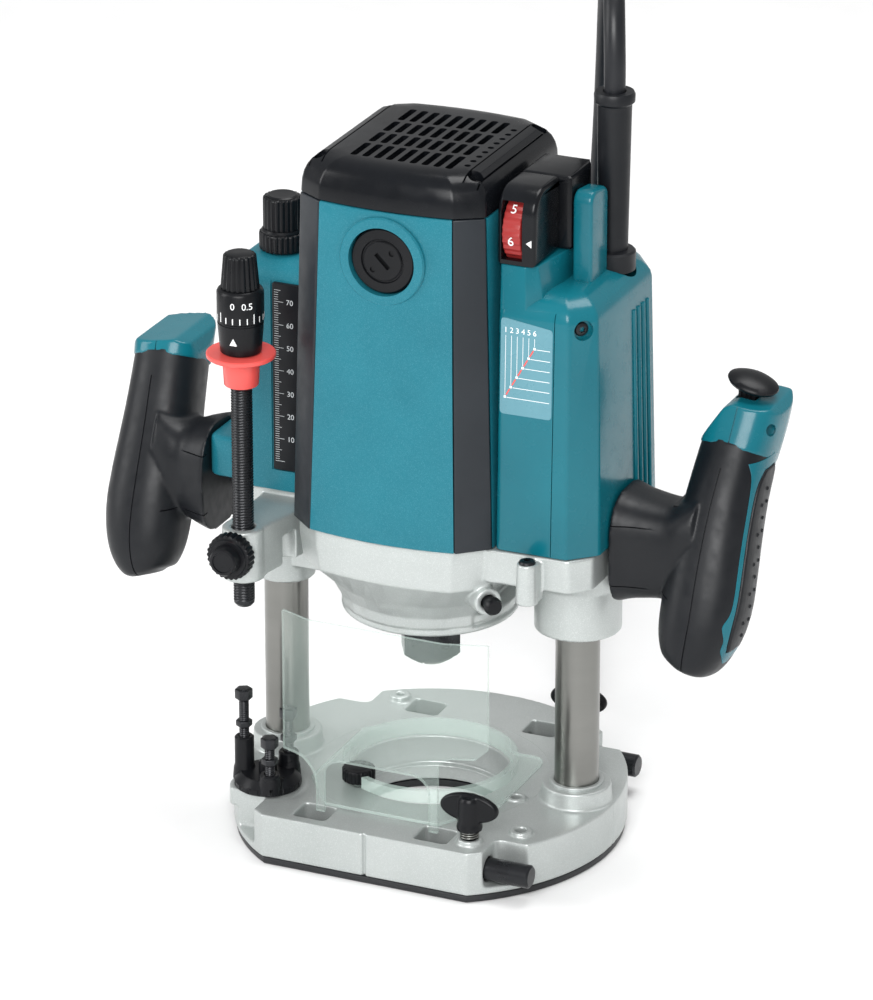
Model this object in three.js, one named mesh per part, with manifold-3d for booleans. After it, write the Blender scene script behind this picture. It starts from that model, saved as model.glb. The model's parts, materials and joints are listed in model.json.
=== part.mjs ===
// Plunge router: an assembly of separate named pieces. Millimetres, +Z up.
// Inside this file the cutter axis is x = 0, y = 0 and the underside of the sole is z = 0;
// the whole group is moved along Y at the end, so that the origin is under the centre of the box.
import * as THREE from 'three';
import { mergeVertices } from 'three/addons/utils/BufferGeometryUtils.js';
import Module from 'manifold-3d';

const wasm = await Module();
wasm.setup();

// ---- driving dimensions ----
const GAP = 0.3;                 // clearance kept between touching pieces
const BASE_RADIUS = 85;          // the base is a 170 mm disc
const BASE_FRONT = -70.5;        // with one flat at the front
const SOLE_TOP = 3;
const BASE_FLOOR = SOLE_TOP + GAP;
const BASE_TOP = 23;
const FLANGE_TOP = 6.5;          // thin rim left under the corner notches
const BASE_OPENING = 32;         // radius of the cutter opening
const NOTCH_X = 53;
const NOTCH_Y = 52;
const WINDOW_X = 28;
const WINDOW_Y = 58.3;
const GUIDE_Y = 59.8;            // guide rods lie along X, front and rear
const GUIDE_Z = 12.5;
const GUIDE_RADIUS = 5;
const WING_X = 44.2;
const WING_BOSS_TOP = 25.5;
const SCREW_X = -22;             // thumb screw that holds the clear chip deflector
const SCREW_Y = -26.6;
const SHIELD_TOP = 111;

const COLUMN_X = 68;             // two columns, left and right of the cutter
const COLUMN_RADIUS = 9.5;
const COLUMN_BORE = 7;
const COLUMN_FOOT = 8.3;
const COLUMN_TOP = 168;
const COLUMN_BOSS_TOP = 30.7;
const HEAD_BORE = 9.9;           // sliding bore round a column
const BORE_TOP = 241;            // blind top of both sliding bores

const TURRET_X = -58;
const TURRET_Y = -41.6;
const TURRET_RADIUS = 14.5;
const TURRET_FLOOR = BASE_TOP + GAP;
const TURRET_TOP = 33;
const STOP_CIRCLE = 11;          // stop bolts stand on this radius of the turret
const ROD_ANGLE = 240;           // the depth rod comes down between two stop bolts
const ROD_X = TURRET_X + STOP_CIRCLE * Math.cos(THREE.MathUtils.degToRad(ROD_ANGLE));
const ROD_Y = TURRET_Y + STOP_CIRCLE * Math.sin(THREE.MathUtils.degToRad(ROD_ANGLE));
const ROD_RADIUS = 4.6;
const ROD_TIP = 110;
const CLAMP_END = -72.5;         // front of the rod's clamp knob, the foremost point
const KNOB_FLOOR = 225;          // underside of the fine-adjustment knob

const JOINT_Z = 149;             // the housings stand on the casting at this height
const HOUSING_FLOOR = JOINT_Z + GAP;
const HOUSING_TOP = 294;
const COVER_TOP = 311.5;
const WALL = 3.5;
const COLLET_BORE = 6.05;        // takes a 12 mm cutter shank
const BEARING_FLOOR = 102;       // lowest face of the spindle nose
const TOWER_TOP = 252;
const SHOULDER = 262;            // top of the right housing beside the cord guard
const HOOD_RIGHT = 67;           // where the dial hood's back block ends and the cord tower begins
const BRUSH_Z = 273;
const BRUSH_FACE = -47.5;

const NECK_Z = 146;               // centre height of the necks that carry the grips

const GUARD_X = 74.5;
const GUARD_Y = 18;
const GUARD_FLOOR = 258;
const GUARD_TOP = 336;
const CORD_RADIUS = 4.5;

const FRAME_SHIFT = -(BASE_RADIUS + CLAMP_END) / 2;  // puts the origin under the centre of the box

// ---- materials ----
const finish = (color, roughness, metalness = 0, extra = {}) =>
  new THREE.MeshStandardMaterial({ color, roughness, metalness, ...extra });
const TEAL = finish(0x0f7f92, 0.38);
const BLACK = finish(0x1c1d20, 0.42);
const RUBBER = finish(0x26282c, 0.7);
const RED = finish(0xd8343a, 0.4);
const CASTING = finish(0xc3c9c8, 0.5, 0.6);
const STEEL = finish(0xb9b6ae, 0.28, 0.95);
const DARK_STEEL = finish(0x3a3d42, 0.45, 0.7);
const COPPER = finish(0xb46a3c, 0.4, 0.8);
const CARBON = finish(0x2b2b2b, 0.8);
const CLEAR = finish(0xdfeee2, 0.1, 0, { transparent: true, opacity: 0.3 });
const GREEN_BOARD = finish(0x2f6b45, 0.6);

// ---- geometry helpers ----
const vec = (x, y, z) => new THREE.Vector3(x, y, z);
const radians = THREE.MathUtils.degToRad;
const X_AXIS = vec(1, 0, 0);
const Y_AXIS = vec(0, 1, 0);
const Z_AXIS = vec(0, 0, 1);

// A closed three.js geometry as a manifold solid.
function solid(geometry) {
  geometry.deleteAttribute('normal');
  geometry.deleteAttribute('uv');
  const merged = mergeVertices(geometry, 1e-4);
  return new wasm.Manifold(new wasm.Mesh({
    numProp: 3,
    vertProperties: new Float32Array(merged.attributes.position.array),
    triVerts: new Uint32Array(merged.index.array),
  }));
}

const union = (...solids) => solids.reduce((whole, next) => whole.add(next));
const cut = (body, ...tools) => tools.reduce((whole, tool) => whole.subtract(tool), body);

function box(x0, x1, y0, y1, z0, z1) {
  const geometry = new THREE.BoxGeometry(x1 - x0, y1 - y0, z1 - z0);
  return solid(geometry.translate((x0 + x1) / 2, (y0 + y1) / 2, (z0 + z1) / 2));
}

// A cylinder or cone from one point to another.
function bar(from, to, radius, { end = radius, sides = 24 } = {}) {
  const length = from.distanceTo(to);
  const geometry = new THREE.CylinderGeometry(end, radius, length, sides);
  const turn = new THREE.Quaternion().setFromUnitVectors(Y_AXIS, to.clone().sub(from).normalize());
  return solid(geometry.translate(0, length / 2, 0).applyQuaternion(turn).translate(from.x, from.y, from.z));
}
const post = (x, y, radius, z0, z1, options) => bar(vec(x, y, z0), vec(x, y, z1), radius, options);
const barX = (y, z, radius, x0, x1, options) => bar(vec(x0, y, z), vec(x1, y, z), radius, options);
const barY = (x, z, radius, y0, y1, options) => bar(vec(x, y0, z), vec(x, y1, z), radius, options);

// A solid of revolution about a line through `foot`; the profile is [radius, height] pairs.
function turned(foot, axis, profile, sides = 32) {
  const geometry = new THREE.LatheGeometry(profile.map(([r, h]) => new THREE.Vector2(r, h)), sides);
  const turn = new THREE.Quaternion().setFromUnitVectors(Y_AXIS, axis);
  return solid(geometry.applyQuaternion(turn).translate(foot.x, foot.y, foot.z));
}

// A knob or gear-like outline: radius swings between two values, `count` times round.
function fluted(count, outer, inner, steps = 4) {
  return Array.from({ length: count * steps }, (_, i) => {
    const angle = (2 * Math.PI * i) / (count * steps);
    const radius = (outer + inner) / 2 + ((outer - inner) / 2) * Math.cos(count * angle);
    return [radius * Math.cos(angle), radius * Math.sin(angle)];
  });
}

function extruded(points, depth) {
  const shape = new THREE.Shape(points.map(([a, b]) => new THREE.Vector2(a, b)));
  return new THREE.ExtrudeGeometry(shape, { depth, bevelEnabled: false });
}
const prismZ = (points, z0, z1) => solid(extruded(points, z1 - z0).translate(0, 0, z0));
// outline in (x, z), running along Y
const prismY = (points, y0, y1) => solid(extruded(points, y1 - y0).rotateX(Math.PI / 2).translate(0, y1, 0));
// outline in (y, z), running along X
function prismX(points, x0, x1) {
  const turn = new THREE.Matrix4().makeBasis(Y_AXIS, Z_AXIS, X_AXIS);
  return solid(extruded(points, x1 - x0).applyMatrix4(turn).translate(x0, 0, 0));
}

// A skin over rings of equal length, each anticlockwise about the way the loft runs.
function loft(rings) {
  const n = rings[0].length;
  const points = rings.flat();
  const index = [];
  for (let k = 0; k + 1 < rings.length; k += 1) {
    for (let i = 0; i < n; i += 1) {
      const [a, b] = [k * n + i, k * n + ((i + 1) % n)];
      index.push(a, b, b + n, a, b + n, a + n);
    }
  }
  const last = (rings.length - 1) * n;
  [0, last].forEach((start, end) => {
    const middle = points.length;
    const ring = points.slice(start, start + n);
    points.push(ring.reduce((sum, p) => sum.add(p), vec(0, 0, 0)).divideScalar(n));
    for (let i = 0; i < n; i += 1) {
      const [a, b] = [start + i, start + ((i + 1) % n)];
      index.push(middle, end ? a : b, end ? b : a);
    }
  });
  const geometry = new THREE.BufferGeometry().setFromPoints(points);
  return solid(geometry.setIndex(index));
}

// A rounded ring round `centre`, square to `along`, with half sizes on X and across.
function ovalRing(centre, along, halfX, halfAcross, power = 2.4, count = 16) {
  const side = X_AXIS.clone().addScaledVector(along, -along.x).normalize();
  const across = along.clone().cross(side);
  return Array.from({ length: count }, (_, i) => {
    const angle = (2 * Math.PI * i) / count;
    const bend = (v) => Math.sign(v) * Math.abs(v) ** (2 / power);
    return centre.clone()
      .addScaledVector(side, halfX * bend(Math.cos(angle)))
      .addScaledVector(across, halfAcross * bend(Math.sin(angle)));
  });
}

const arc = (x, y, radius, from, to, steps) => Array.from({ length: steps + 1 }, (_, i) => {
  const angle = radians(from + ((to - from) * i) / steps);
  return [x + radius * Math.cos(angle), y + radius * Math.sin(angle)];
});

// An outline given at two heights, joined by straight sides, as a housing's draft is.
const drafted = (low, z0, high, z1) =>
  loft([low.map(([x, y]) => vec(x, y, z0)), high.map(([x, y]) => vec(x, y, z1))]);
const shrunk = (points, by) => points.map(([x, y]) => [x - Math.sign(x) * by, y - Math.sign(y) * by]);
const between = (low, high, share) => low.map(([x, y], i) =>
  [x + (high[i][0] - x) * share, y + (high[i][1] - y) * share]);

const router = new THREE.Group();
router.position.y = FRAME_SHIFT;

function add(name, body, material) {
  const { vertProperties, triVerts, numProp } = body.getMesh();
  const geometry = new THREE.BufferGeometry();
  const positions = new Float32Array((vertProperties.length / numProp) * 3);
  for (let i = 0; i < positions.length; i += 1) {
    positions[i] = vertProperties[Math.floor(i / 3) * numProp + (i % 3)];
  }
  geometry.setAttribute('position', new THREE.BufferAttribute(positions, 3));
  geometry.setIndex(new THREE.BufferAttribute(new Uint32Array(triVerts), 1));
  geometry.computeVertexNormals();
  const mesh = new THREE.Mesh(geometry, material);
  mesh.name = name;
  router.add(mesh);
}

// ---- base ----
function baseOutline(radius, front) {
  const corner = THREE.MathUtils.radToDeg(Math.asin(front / radius));
  return arc(0, 0, radius, corner, 180 - corner, 40);
}

function addSole() {
  const plate = prismZ(baseOutline(BASE_RADIUS - 0.8, BASE_FRONT + 0.6), 0, SOLE_TOP);
  const screws = [45, 135, 225, 315].map((angle) => {
    const [x, y] = [48 * Math.cos(radians(angle)), 48 * Math.sin(radians(angle))];
    return post(x, y, 4, -1, 2, { end: 2, sides: 8 });
  });
  add('sole_plate', cut(plate, post(0, 0, BASE_OPENING, -1, 4, { sides: 36 }), ...screws), BLACK);
}

function cornerNotches() {
  return [[1, 1], [1, -1], [-1, 1], [-1, -1]].map(([sx, sy]) => {
    const [x0, x1] = sx > 0 ? [NOTCH_X, 90] : [-90, -NOTCH_X];
    const [y0, y1] = sy > 0 ? [NOTCH_Y, 90] : [-90, -NOTCH_Y];
    return box(x0, x1, y0, y1, FLANGE_TOP, BASE_TOP + 1);
  });
}

function addBaseCasting() {
  const plate = cut(prismZ(baseOutline(BASE_RADIUS, BASE_FRONT), BASE_FLOOR, BASE_TOP), ...cornerNotches());
  const bosses = [-1, 1].map((side) => post(side * COLUMN_X, 0, 15, BASE_TOP - 4, COLUMN_BOSS_TOP, { sides: 24 }));
  const pads = [-1, 1].map((side) => post(WING_X, side * GUIDE_Y, 5, BASE_TOP - 2, WING_BOSS_TOP, { sides: 12 }));
  const lug = post(-41.6, 61, 4.7, BASE_TOP - 2, 26, { sides: 12 });
  const columnBores = [-1, 1].map((side) =>
    post(side * COLUMN_X, 0, COLUMN_RADIUS + GAP, COLUMN_FOOT - GAP, 40, { sides: 24 }));
  const guideBores = [-1, 1].map((side) => barX(side * GUIDE_Y, GUIDE_Z, GUIDE_RADIUS + GAP, -90, 90, { sides: 16 }));
  const windows = [[1, 1], [1, -1], [-1, 1], [-1, -1]].map(([sx, sy]) =>
    box(sx * WINDOW_X - 6.6, sx * WINDOW_X + 6.6, sy * WINDOW_Y - 6.4, sy * WINDOW_Y + 6.4, 0, 30));
  const threads = [-1, 1].map((side) => post(WING_X, side * GUIDE_Y, 3.3, GUIDE_Z, 30, { sides: 10 }));
  const holes = [
    post(60.6, -43.2, 2.6, 8, 30, { sides: 8 }),
    post(45.4, -12.5, 2.6, 8, 30, { sides: 8 }),
    post(-41.6, 61, 1.8, 10, 30, { sides: 8 }),
    post(TURRET_X, TURRET_Y, 3.3, 8, 30, { sides: 12 }),
    post(SCREW_X, SCREW_Y, 2.6, 12, 30, { sides: 8 }),
  ];
  const opening = [
    post(0, 0, BASE_OPENING, 0, 30, { sides: 36 }),
    post(0, 0, BASE_OPENING + 2.5, 10, 30, { sides: 36 }),
  ];
  const ticks = [
    box(-0.4, 0.4, BASE_FRONT - 1, BASE_FRONT + 0.6, 0, 30),
    box(BASE_RADIUS - 0.6, BASE_RADIUS + 1, -0.4, 0.4, 0, 30),
  ];
  const casting = cut(union(plate, ...bosses, ...pads, lug), ...columnBores, ...guideBores, ...windows,
    ...threads, ...holes, ...opening, ...ticks);
  add('base_casting', casting, CASTING);
}

class Helix extends THREE.Curve {
  constructor(x, radius, z0, z1, turns) {
    super();
    Object.assign(this, { x, radius, z0, z1, turns });
  }

  getPoint(t, target = new THREE.Vector3()) {
    const angle = 2 * Math.PI * this.turns * t;
    return target.set(this.x + this.radius * Math.cos(angle), this.radius * Math.sin(angle),
      this.z0 + (this.z1 - this.z0) * t);
  }
}

// A tube of a few sides swept along a curve.
function swept(curve, radius, steps, sides) {
  const section = new THREE.Shape(arc(0, 0, radius, 0, 360 - 360 / sides, sides - 1)
    .map(([a, b]) => new THREE.Vector2(a, b)));
  return solid(new THREE.ExtrudeGeometry(section, { steps, extrudePath: curve, bevelEnabled: false }));
}

function addColumns() {
  for (const [side, name] of [[-1, 'left'], [1, 'right']]) {
    const x = side * COLUMN_X;
    const tube = cut(post(x, 0, COLUMN_RADIUS, COLUMN_FOOT, COLUMN_TOP),
      post(x, 0, COLUMN_BORE, COLUMN_FOOT + 3.7, COLUMN_TOP + 1, { sides: 16 }));
    add(`column_${name}`, tube, STEEL);
    const helix = new Helix(x, 5.4, 13.4, BORE_TOP - 1.6, 7);
    add(`column_spring_${name}`, swept(helix, 0.9, 42, 4), STEEL);
  }
  const stud = post(-COLUMN_X, 0, 3.5, 12.4, 270, { sides: 16 });
  add('travel_limit_stud', stud, STEEL);
}

function addTravelLimitKnob() {
  const ring = prismZ(fluted(14, 9.8, 9.1, 2), 252.6, 261);
  const cap = prismZ(fluted(12, 8.2, 7.5, 2), 260, 276);
  const knob = cut(union(ring, cap).translate([-COLUMN_X, 0, 0]),
    post(-COLUMN_X, 0, 3.9, 250, 270.4, { sides: 16 }));
  add('travel_limit_knob', knob, BLACK);
}

function addDeflector() {
  const corner = 6;
  const [x0, x1, y0, y1] = [-43, 43, -52, 27];
  const outline = [
    ...arc(x1 - corner, y1 - corner, corner, 0, 90, 3),
    ...arc(x0 + corner, y1 - corner, corner, 90, 180, 3),
    [x0, -30], [-26, y0], [26, y0], [x1, -24],
  ];
  const frame = prismZ(outline, BASE_TOP + GAP, 25);
  const ring = post(0, 0, 38, BASE_TOP + GAP, 30.5, { sides: 32 });
  const collar = cut(union(frame, ring), post(0, 0, 35.2, 20, 40, { sides: 32 }),
    post(SCREW_X, SCREW_Y, 8, 25, 40, { sides: 16 }), post(SCREW_X, SCREW_Y, 2.6, 20, 40, { sides: 8 }));
  add('chip_deflector_collar', collar, CLEAR);

  const bend = [[-45.5, -50.5], [-31, -56.2], [31, -56.2], [49, -50.5]];
  const panel = [...bend.map(([x, y]) => [x + Math.sign(x) * 0.3, y - 2]), ...bend.reverse()];
  const sheet = prismZ(panel, BASE_TOP + GAP, SHIELD_TOP);
  const below = [[-60, 20], [-60, 47], [-38, 47], ...arc(-38, 37, 10, 90, 20, 3), [-27.6, 36], [-27.6, 20]];
  const middle = [
    [-23.8, 20], [-23.8, 38], ...arc(-15.8, 40, 8, 180, 90, 3), ...arc(16.6, 40, 8, 90, 0, 3), [24.6, 20],
  ];
  const right = [[28.6, 20], [28.6, 50], ...arc(35, 52, 6.4, 180, 90, 3), [44, 58.4], [50, 64], [60, 64], [60, 20]];
  const gaps = [below, middle, right].map((edge) => prismY(edge.reverse(), -70, -45));
  add('chip_shield', cut(sheet, ...gaps), CLEAR);

  const knob = union(prismZ(fluted(12, 7.2, 6.7, 2), 25.4, 31.6).translate([SCREW_X, SCREW_Y, 0]),
    post(SCREW_X, SCREW_Y, 2.2, 14, 26, { sides: 8 }));
  add('deflector_screw', knob, BLACK);
}

function addBaseFittings() {
  for (const [side, name] of [[-1, 'front'], [1, 'rear']]) {
    const y = side * GUIDE_Y;
    const wing = union(
      post(WING_X, y, 2.6, GUIDE_Z + GUIDE_RADIUS + GAP, 33, { sides: 12 }),
      post(WING_X, y, 4, 30, 41, { end: 3, sides: 12 }),
      solid(new THREE.SphereGeometry(1, 12, 6).scale(13.5, 2.6, 6.4).translate(WING_X, y, 39.3)));
    add(`wing_screw_${name}`, wing, BLACK);
    const rod = barX(y, GUIDE_Z, GUIDE_RADIUS, -34, 72.5, { sides: 20 });
    add(`guide_rod_${name}`, rod, BLACK);
  }
}

// ---- depth stop ----
function stopPoint(degrees) {
  return [TURRET_X + STOP_CIRCLE * Math.cos(radians(degrees)), TURRET_Y + STOP_CIRCLE * Math.sin(radians(degrees))];
}

function addTurret() {
  const disc = turned(vec(TURRET_X, TURRET_Y, TURRET_FLOOR), Z_AXIS,
    [[0, 0], [TURRET_RADIUS, 0], [TURRET_RADIUS, 3], [12, 6.2], [0, 6.2]], 24);
  const pivot = post(TURRET_X, TURRET_Y, 3, 9, TURRET_TOP + 1, { sides: 12 });
  const sockets = [[180, 44, 4.2], [300, 33, 4.4], [60, 36, 4.4]].map(([degrees, top, radius]) => {
    const [x, y] = stopPoint(degrees);
    return post(x, y, radius, TURRET_FLOOR + 1, top, { sides: 14 });
  });
  const bores = [180, 300, 60].map((degrees) => {
    const [x, y] = stopPoint(degrees);
    return post(x, y, 2.5, TURRET_FLOOR + 1.2, 60, { sides: 8 });
  });
  add('stop_turret', cut(union(disc, pivot, ...sockets), ...bores), BLACK);
  const bolts = [['high', 180, 29, 66, 44], ['middle', 60, 29, 56, 36], ['low', 300, 29, 50, 33]];
  for (const [name, degrees, foot, top, seat] of bolts) {
    const [x, y] = stopPoint(degrees);
    const bolt = union(post(x, y, 2.1, foot, top - 1, { sides: 8 }),
      post(x, y, 3.9, top - 5.5, top, { sides: 6 }),
      post(x, y, 3.6, seat + 4.6, seat + 7.4, { sides: 6 }));
    add(`stop_bolt_${name}`, bolt, BLACK);
  }
}

function addDepthRod() {
  const rod = union(post(ROD_X, ROD_Y, ROD_RADIUS, ROD_TIP, KNOB_FLOOR - 14, { sides: 20 }),
    post(ROD_X, ROD_Y, 3.6, KNOB_FLOOR - 15, 262, { sides: 16 }));
  add('depth_rod', rod, BLACK);

  const knob = union(
    post(ROD_X, ROD_Y, 8.6, KNOB_FLOOR, KNOB_FLOOR + 12.8, { end: 9.7 }),
    post(ROD_X, ROD_Y, 9.8, KNOB_FLOOR + 12.6, KNOB_FLOOR + 28),
    prismZ(fluted(9, 8, 7.3, 2), KNOB_FLOOR + 27.8, KNOB_FLOOR + 43).translate([ROD_X, ROD_Y, 0]));
  add('fine_adjust_knob', cut(knob, post(ROD_X, ROD_Y, 3.9, KNOB_FLOOR - 1, 262.4, { sides: 16 })), BLACK);

  const flange = union(post(ROD_X, ROD_Y, 14.5, 222.6, 224.6),
    post(ROD_X, ROD_Y, 7.2, 210, 223, { end: 8, sides: 20 }),
    box(ROD_X - 1, ROD_X + 10, ROD_Y, -19.2, 222.6, 224.6));
  add('depth_pointer', cut(flange, post(ROD_X, ROD_Y, 4.95, 205, 230, { sides: 20 })), RED);

  const clampY = ROD_Y - 9.4;
  const knobZ = 137;
  const clamp = union(
    prismY(fluted(12, 10, 9.2, 2), clampY - 6, clampY),
    barY(0, 0, 6.2, CLAMP_END, clampY - 5, { sides: 16 })).translate([ROD_X, 0, knobZ]);
  const stem = barY(ROD_X, knobZ, 2.4, clampY - 1, ROD_Y - ROD_RADIUS - GAP, { sides: 12 });
  add('rod_clamp_knob', union(clamp, stem), BLACK);
}

// ---- head casting ----
function motorOutline(halfX, chamferX, frontY, chamferY, bulge) {
  const front = [-1, -0.5, 0, 0.5, 1].map((u) => [u * halfX, -frontY - bulge * (1 - u * u)]);
  const half = [...front, [chamferX, -chamferY], [chamferX, chamferY]];
  return [...half, ...half.map(([x, y]) => [-x, -y])];
}
const HOUSING_LOW = motorOutline(33.2, 45.4, 50.7, 39.6, 3.5);
const HOUSING_HIGH = motorOutline(30, 41.6, 45.7, 38.6, 2.5);

function addHeadCasting() {
  const skirt = motorOutline(31, 44, 49, 38, 3);
  const ring = (radius, z) => skirt.map(([x, y]) => {
    const angle = Math.atan2(y, x);
    return vec(radius * Math.cos(angle), radius * Math.sin(angle), z);
  });
  const bowl = loft([ring(39, 108), ring(43, 118), skirt.map(([x, y]) => vec(x * 0.98, y * 0.98, 131)),
    skirt.map(([x, y]) => vec(x, y, JOINT_Z))]);
  const nose = post(0, 0, 38, BEARING_FLOOR, 110, { sides: 32 });
  const leftArm = union(box(-80, -38, -15, 15, 122, JOINT_Z), post(-COLUMN_X, 0, 12.6, 105, JOINT_Z));
  const rightArm = union(
    prismZ([[40, -40], [79, -38.5], [87, -30], [87, 30], [79, 45], [40, 45]], 134, JOINT_Z),
    post(COLUMN_X, 0, 18.6, 103, JOINT_Z));
  const screwBoss = union(post(63, -44, 4.3, 130, JOINT_Z - 1, { sides: 12 }), box(58.7, 67.3, -44, -36, 130, 147));
  const bracket = union(post(ROD_X, ROD_Y, 9, 123, 146, { sides: 20 }),
    prismZ([[ROD_X - 8, ROD_Y], [ROD_X + 8, ROD_Y], [-48, -12], [-72, -12]], 124, 146));
  const lockBoss = barY(-COLUMN_X, 132, 8, 8, 23.5, { sides: 16 });
  const pinBoss = bar(lockPinPoint(38), lockPinPoint(59), 6, { sides: 14 });

  const bores = [-1, 1].map((side) => post(side * COLUMN_X, 0, HEAD_BORE, 100, 160));
  const cavity = union(post(0, 0, 36, 137, 160, { sides: 32 }), post(0, 0, 14.5, 120, 140, { sides: 20 }),
    post(0, 0, 20.3, 108.5, 122, { sides: 20 }), post(0, 0, 10.5, 95, 110, { sides: 20 }));
  const rightHollow = box(46, 52, -32, 38, 138, 160);
  const reliefs = [[180, 137.5], [60, 133]].map(([degrees, top]) => {
    const [x, y] = stopPoint(degrees);
    return post(x, y, 4.7, 110, top, { sides: 16 });
  });
  const holes = [
    post(ROD_X, ROD_Y, ROD_RADIUS + 0.4, 118, 150, { sides: 20 }),
    barY(ROD_X, 137, 2.8, ROD_Y - 12, ROD_Y, { sides: 12 }),
    post(63, -44, 1.9, 138, 152, { sides: 12 }),
    barY(-COLUMN_X, 132, 3.4, 12.6, 30, { sides: 12 }),
    bar(lockPinPoint(8), lockPinPoint(62), 3.3, { sides: 12 }),
  ];
  const casting = cut(union(bowl, nose, leftArm, rightArm, screwBoss, bracket, lockBoss, pinBoss),
    ...bores, cavity, rightHollow, ...reliefs, ...holes);
  add('head_casting', casting, CASTING);
}

// The spindle-lock pin points at the spindle from the front right.
function lockPinPoint(distance) {
  const angle = radians(-42);
  return vec(distance * Math.cos(angle), distance * Math.sin(angle), 125);
}

function addShaftLock() {
  const pin = turned(vec(0, 0, 125), lockPinPoint(1).sub(vec(0, 0, 125)),
    [[0, 11.8], [3, 11.8], [3, 62], [4.6, 62], [4.6, 64], [3.4, 66], [0, 66]], 16);
  add('spindle_lock_pin', pin, BLACK);
}

// ---- motor and spindle ----
function addSpindle() {
  const shaft = turned(vec(0, 0, 0), Z_AXIS, [
    [0, 104], [COLLET_BORE, 104], [COLLET_BORE, 76], [8, 76], [8, 84], [9.6, 84], [9.6, 108.4], [7.6, 108.4],
    [7.6, 122], [11, 122], [11, 134], [8, 134], [8, 164], [6.5, 164], [6.5, 291], [4.2, 291], [4.2, 301], [0, 301],
  ], 16);
  const lockHoles = [0, 90, 180, 270].map((degrees) =>
    bar(lockPinPoint(8), lockPinPoint(13), 3.6, { sides: 12 }).rotate([0, 0, degrees]));
  add('spindle_shaft', cut(shaft, ...lockHoles), STEEL);
  const nut = cut(post(0, 0, 13.8, 78, 98, { sides: 6 }), post(0, 0, 10, 83.6, 99, { sides: 16 }),
    post(0, 0, 8.4, 70, 90, { sides: 16 }));
  add('collet_nut', nut, DARK_STEEL);
  const ringOf = (inner, outer, z0, z1, sides = 20) => cut(post(0, 0, outer, z0, z1, { sides }),
    post(0, 0, inner, z0 - 1, z1 + 1, { sides: 16 }));
  add('lower_bearing', ringOf(7.95, 20, 108.8, 121.6), STEEL);
  add('upper_bearing', ringOf(4.55, 11, 292, 300), STEEL);
  add('armature_core', ringOf(6.9, 23.4, 176, 232), DARK_STEEL);
  add('commutator', ringOf(6.9, 13, 262, 284), COPPER);
  const stator = cut(post(0, 0, 36.5, 172, 236), post(0, 0, 24.4, 170, 240, { sides: 20 }));
  add('stator', stator, DARK_STEEL);
  const blades = Array.from({ length: 7 }, (_, i) => box(12, 32, -0.8, 0.8, 152, 162).rotate([0, 0, (i * 360) / 7]));
  const hub = ringOf(8.3, 14, 150, 162);
  const plate = ringOf(8.3, 32, 150, 152.4);
  add('cooling_fan', union(hub, plate, ...blades), BLACK);
}

// ---- housings ----
function stripSolid(side, z0, z1, grow = 0) {
  const share = (z) => (z - HOUSING_FLOOR) / (HOUSING_TOP - HOUSING_FLOOR);
  const section = (z) => {
    const outline = between(HOUSING_LOW, HOUSING_HIGH, share(z));
    const [front, back] = [outline[4], outline[5]];
    const inward = new THREE.Vector2(back[1] - front[1], front[0] - back[0]).normalize();
    const depth = 2.2 + grow;
    const run = new THREE.Vector2(back[0] - front[0], back[1] - front[1]).normalize().multiplyScalar(grow);
    const outer = 3 * grow;
    const points = [
      [front[0] - run.x + inward.x * outer, front[1] - run.y + inward.y * outer],
      [back[0] + run.x + inward.x * outer, back[1] + run.y + inward.y * outer],
      [back[0] + run.x - inward.x * depth, back[1] + run.y - inward.y * depth],
      [front[0] - run.x - inward.x * depth, front[1] - run.y - inward.y * depth],
    ];
    const ring = points.map(([x, y]) => vec(side * x, y, z));
    return side > 0 ? ring : ring.reverse();
  };
  return loft([section(z0), section(z1)]);
}

function addMotorHousing() {
  const outer = drafted(HOUSING_LOW, HOUSING_FLOOR, HOUSING_HIGH, HOUSING_TOP);
  const inner = drafted(shrunk(HOUSING_LOW, WALL + 1), HOUSING_FLOOR - 1, shrunk(HOUSING_HIGH, WALL + 1),
    HOUSING_TOP + 1);
  const bosses = [-1, 1].map((side) => barY(0, BRUSH_Z, 19, side * 40, side * (-BRUSH_FACE + 1)));
  const brushBores = [-1, 1].flatMap((side) => [
    barY(0, BRUSH_Z, 14.6, side * (-BRUSH_FACE - 3.4), side * 60),
    barY(0, BRUSH_Z, 6.4, side * 20, side * 60, { sides: 12 }),
  ]);
  const strips = [-1, 1].map((side) => stripSolid(side, HOUSING_FLOOR - 2, HOUSING_TOP + 2, GAP));
  add('motor_housing', cut(union(cut(outer, inner), ...bosses), ...brushBores, ...strips), TEAL);
  for (const [side, name] of [[-1, 'left'], [1, 'right']]) {
    add(`corner_strip_${name}`, stripSolid(side, HOUSING_FLOOR, HOUSING_TOP), BLACK);
  }
}

function addBrushes() {
  for (const [side, name] of [[-1, 'front'], [1, 'rear']]) {
    const face = side * -BRUSH_FACE;
    const cap = cut(union(barY(0, BRUSH_Z, 14.2, face - side * 3, face + side * 0.6),
      barY(0, BRUSH_Z, 6, face - side * 9, face - side * 2.8, { sides: 12 })),
      box(-9, 9, -0.9, 0.9, -0.9, 0.9).rotate([0, 45, 0]).translate([0, face + side * 0.6, BRUSH_Z]));
    add(`brush_cap_${name}`, cap, BLACK);
    const [from, to] = [13.5, Math.abs(face) - 9.6].map((d) => side * d);
    const brush = box(-3.2, 3.2, Math.min(from, to), Math.max(from, to), BRUSH_Z - 4, BRUSH_Z + 4);
    add(`carbon_brush_${name}`, brush, CARBON);
  }
}

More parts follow.
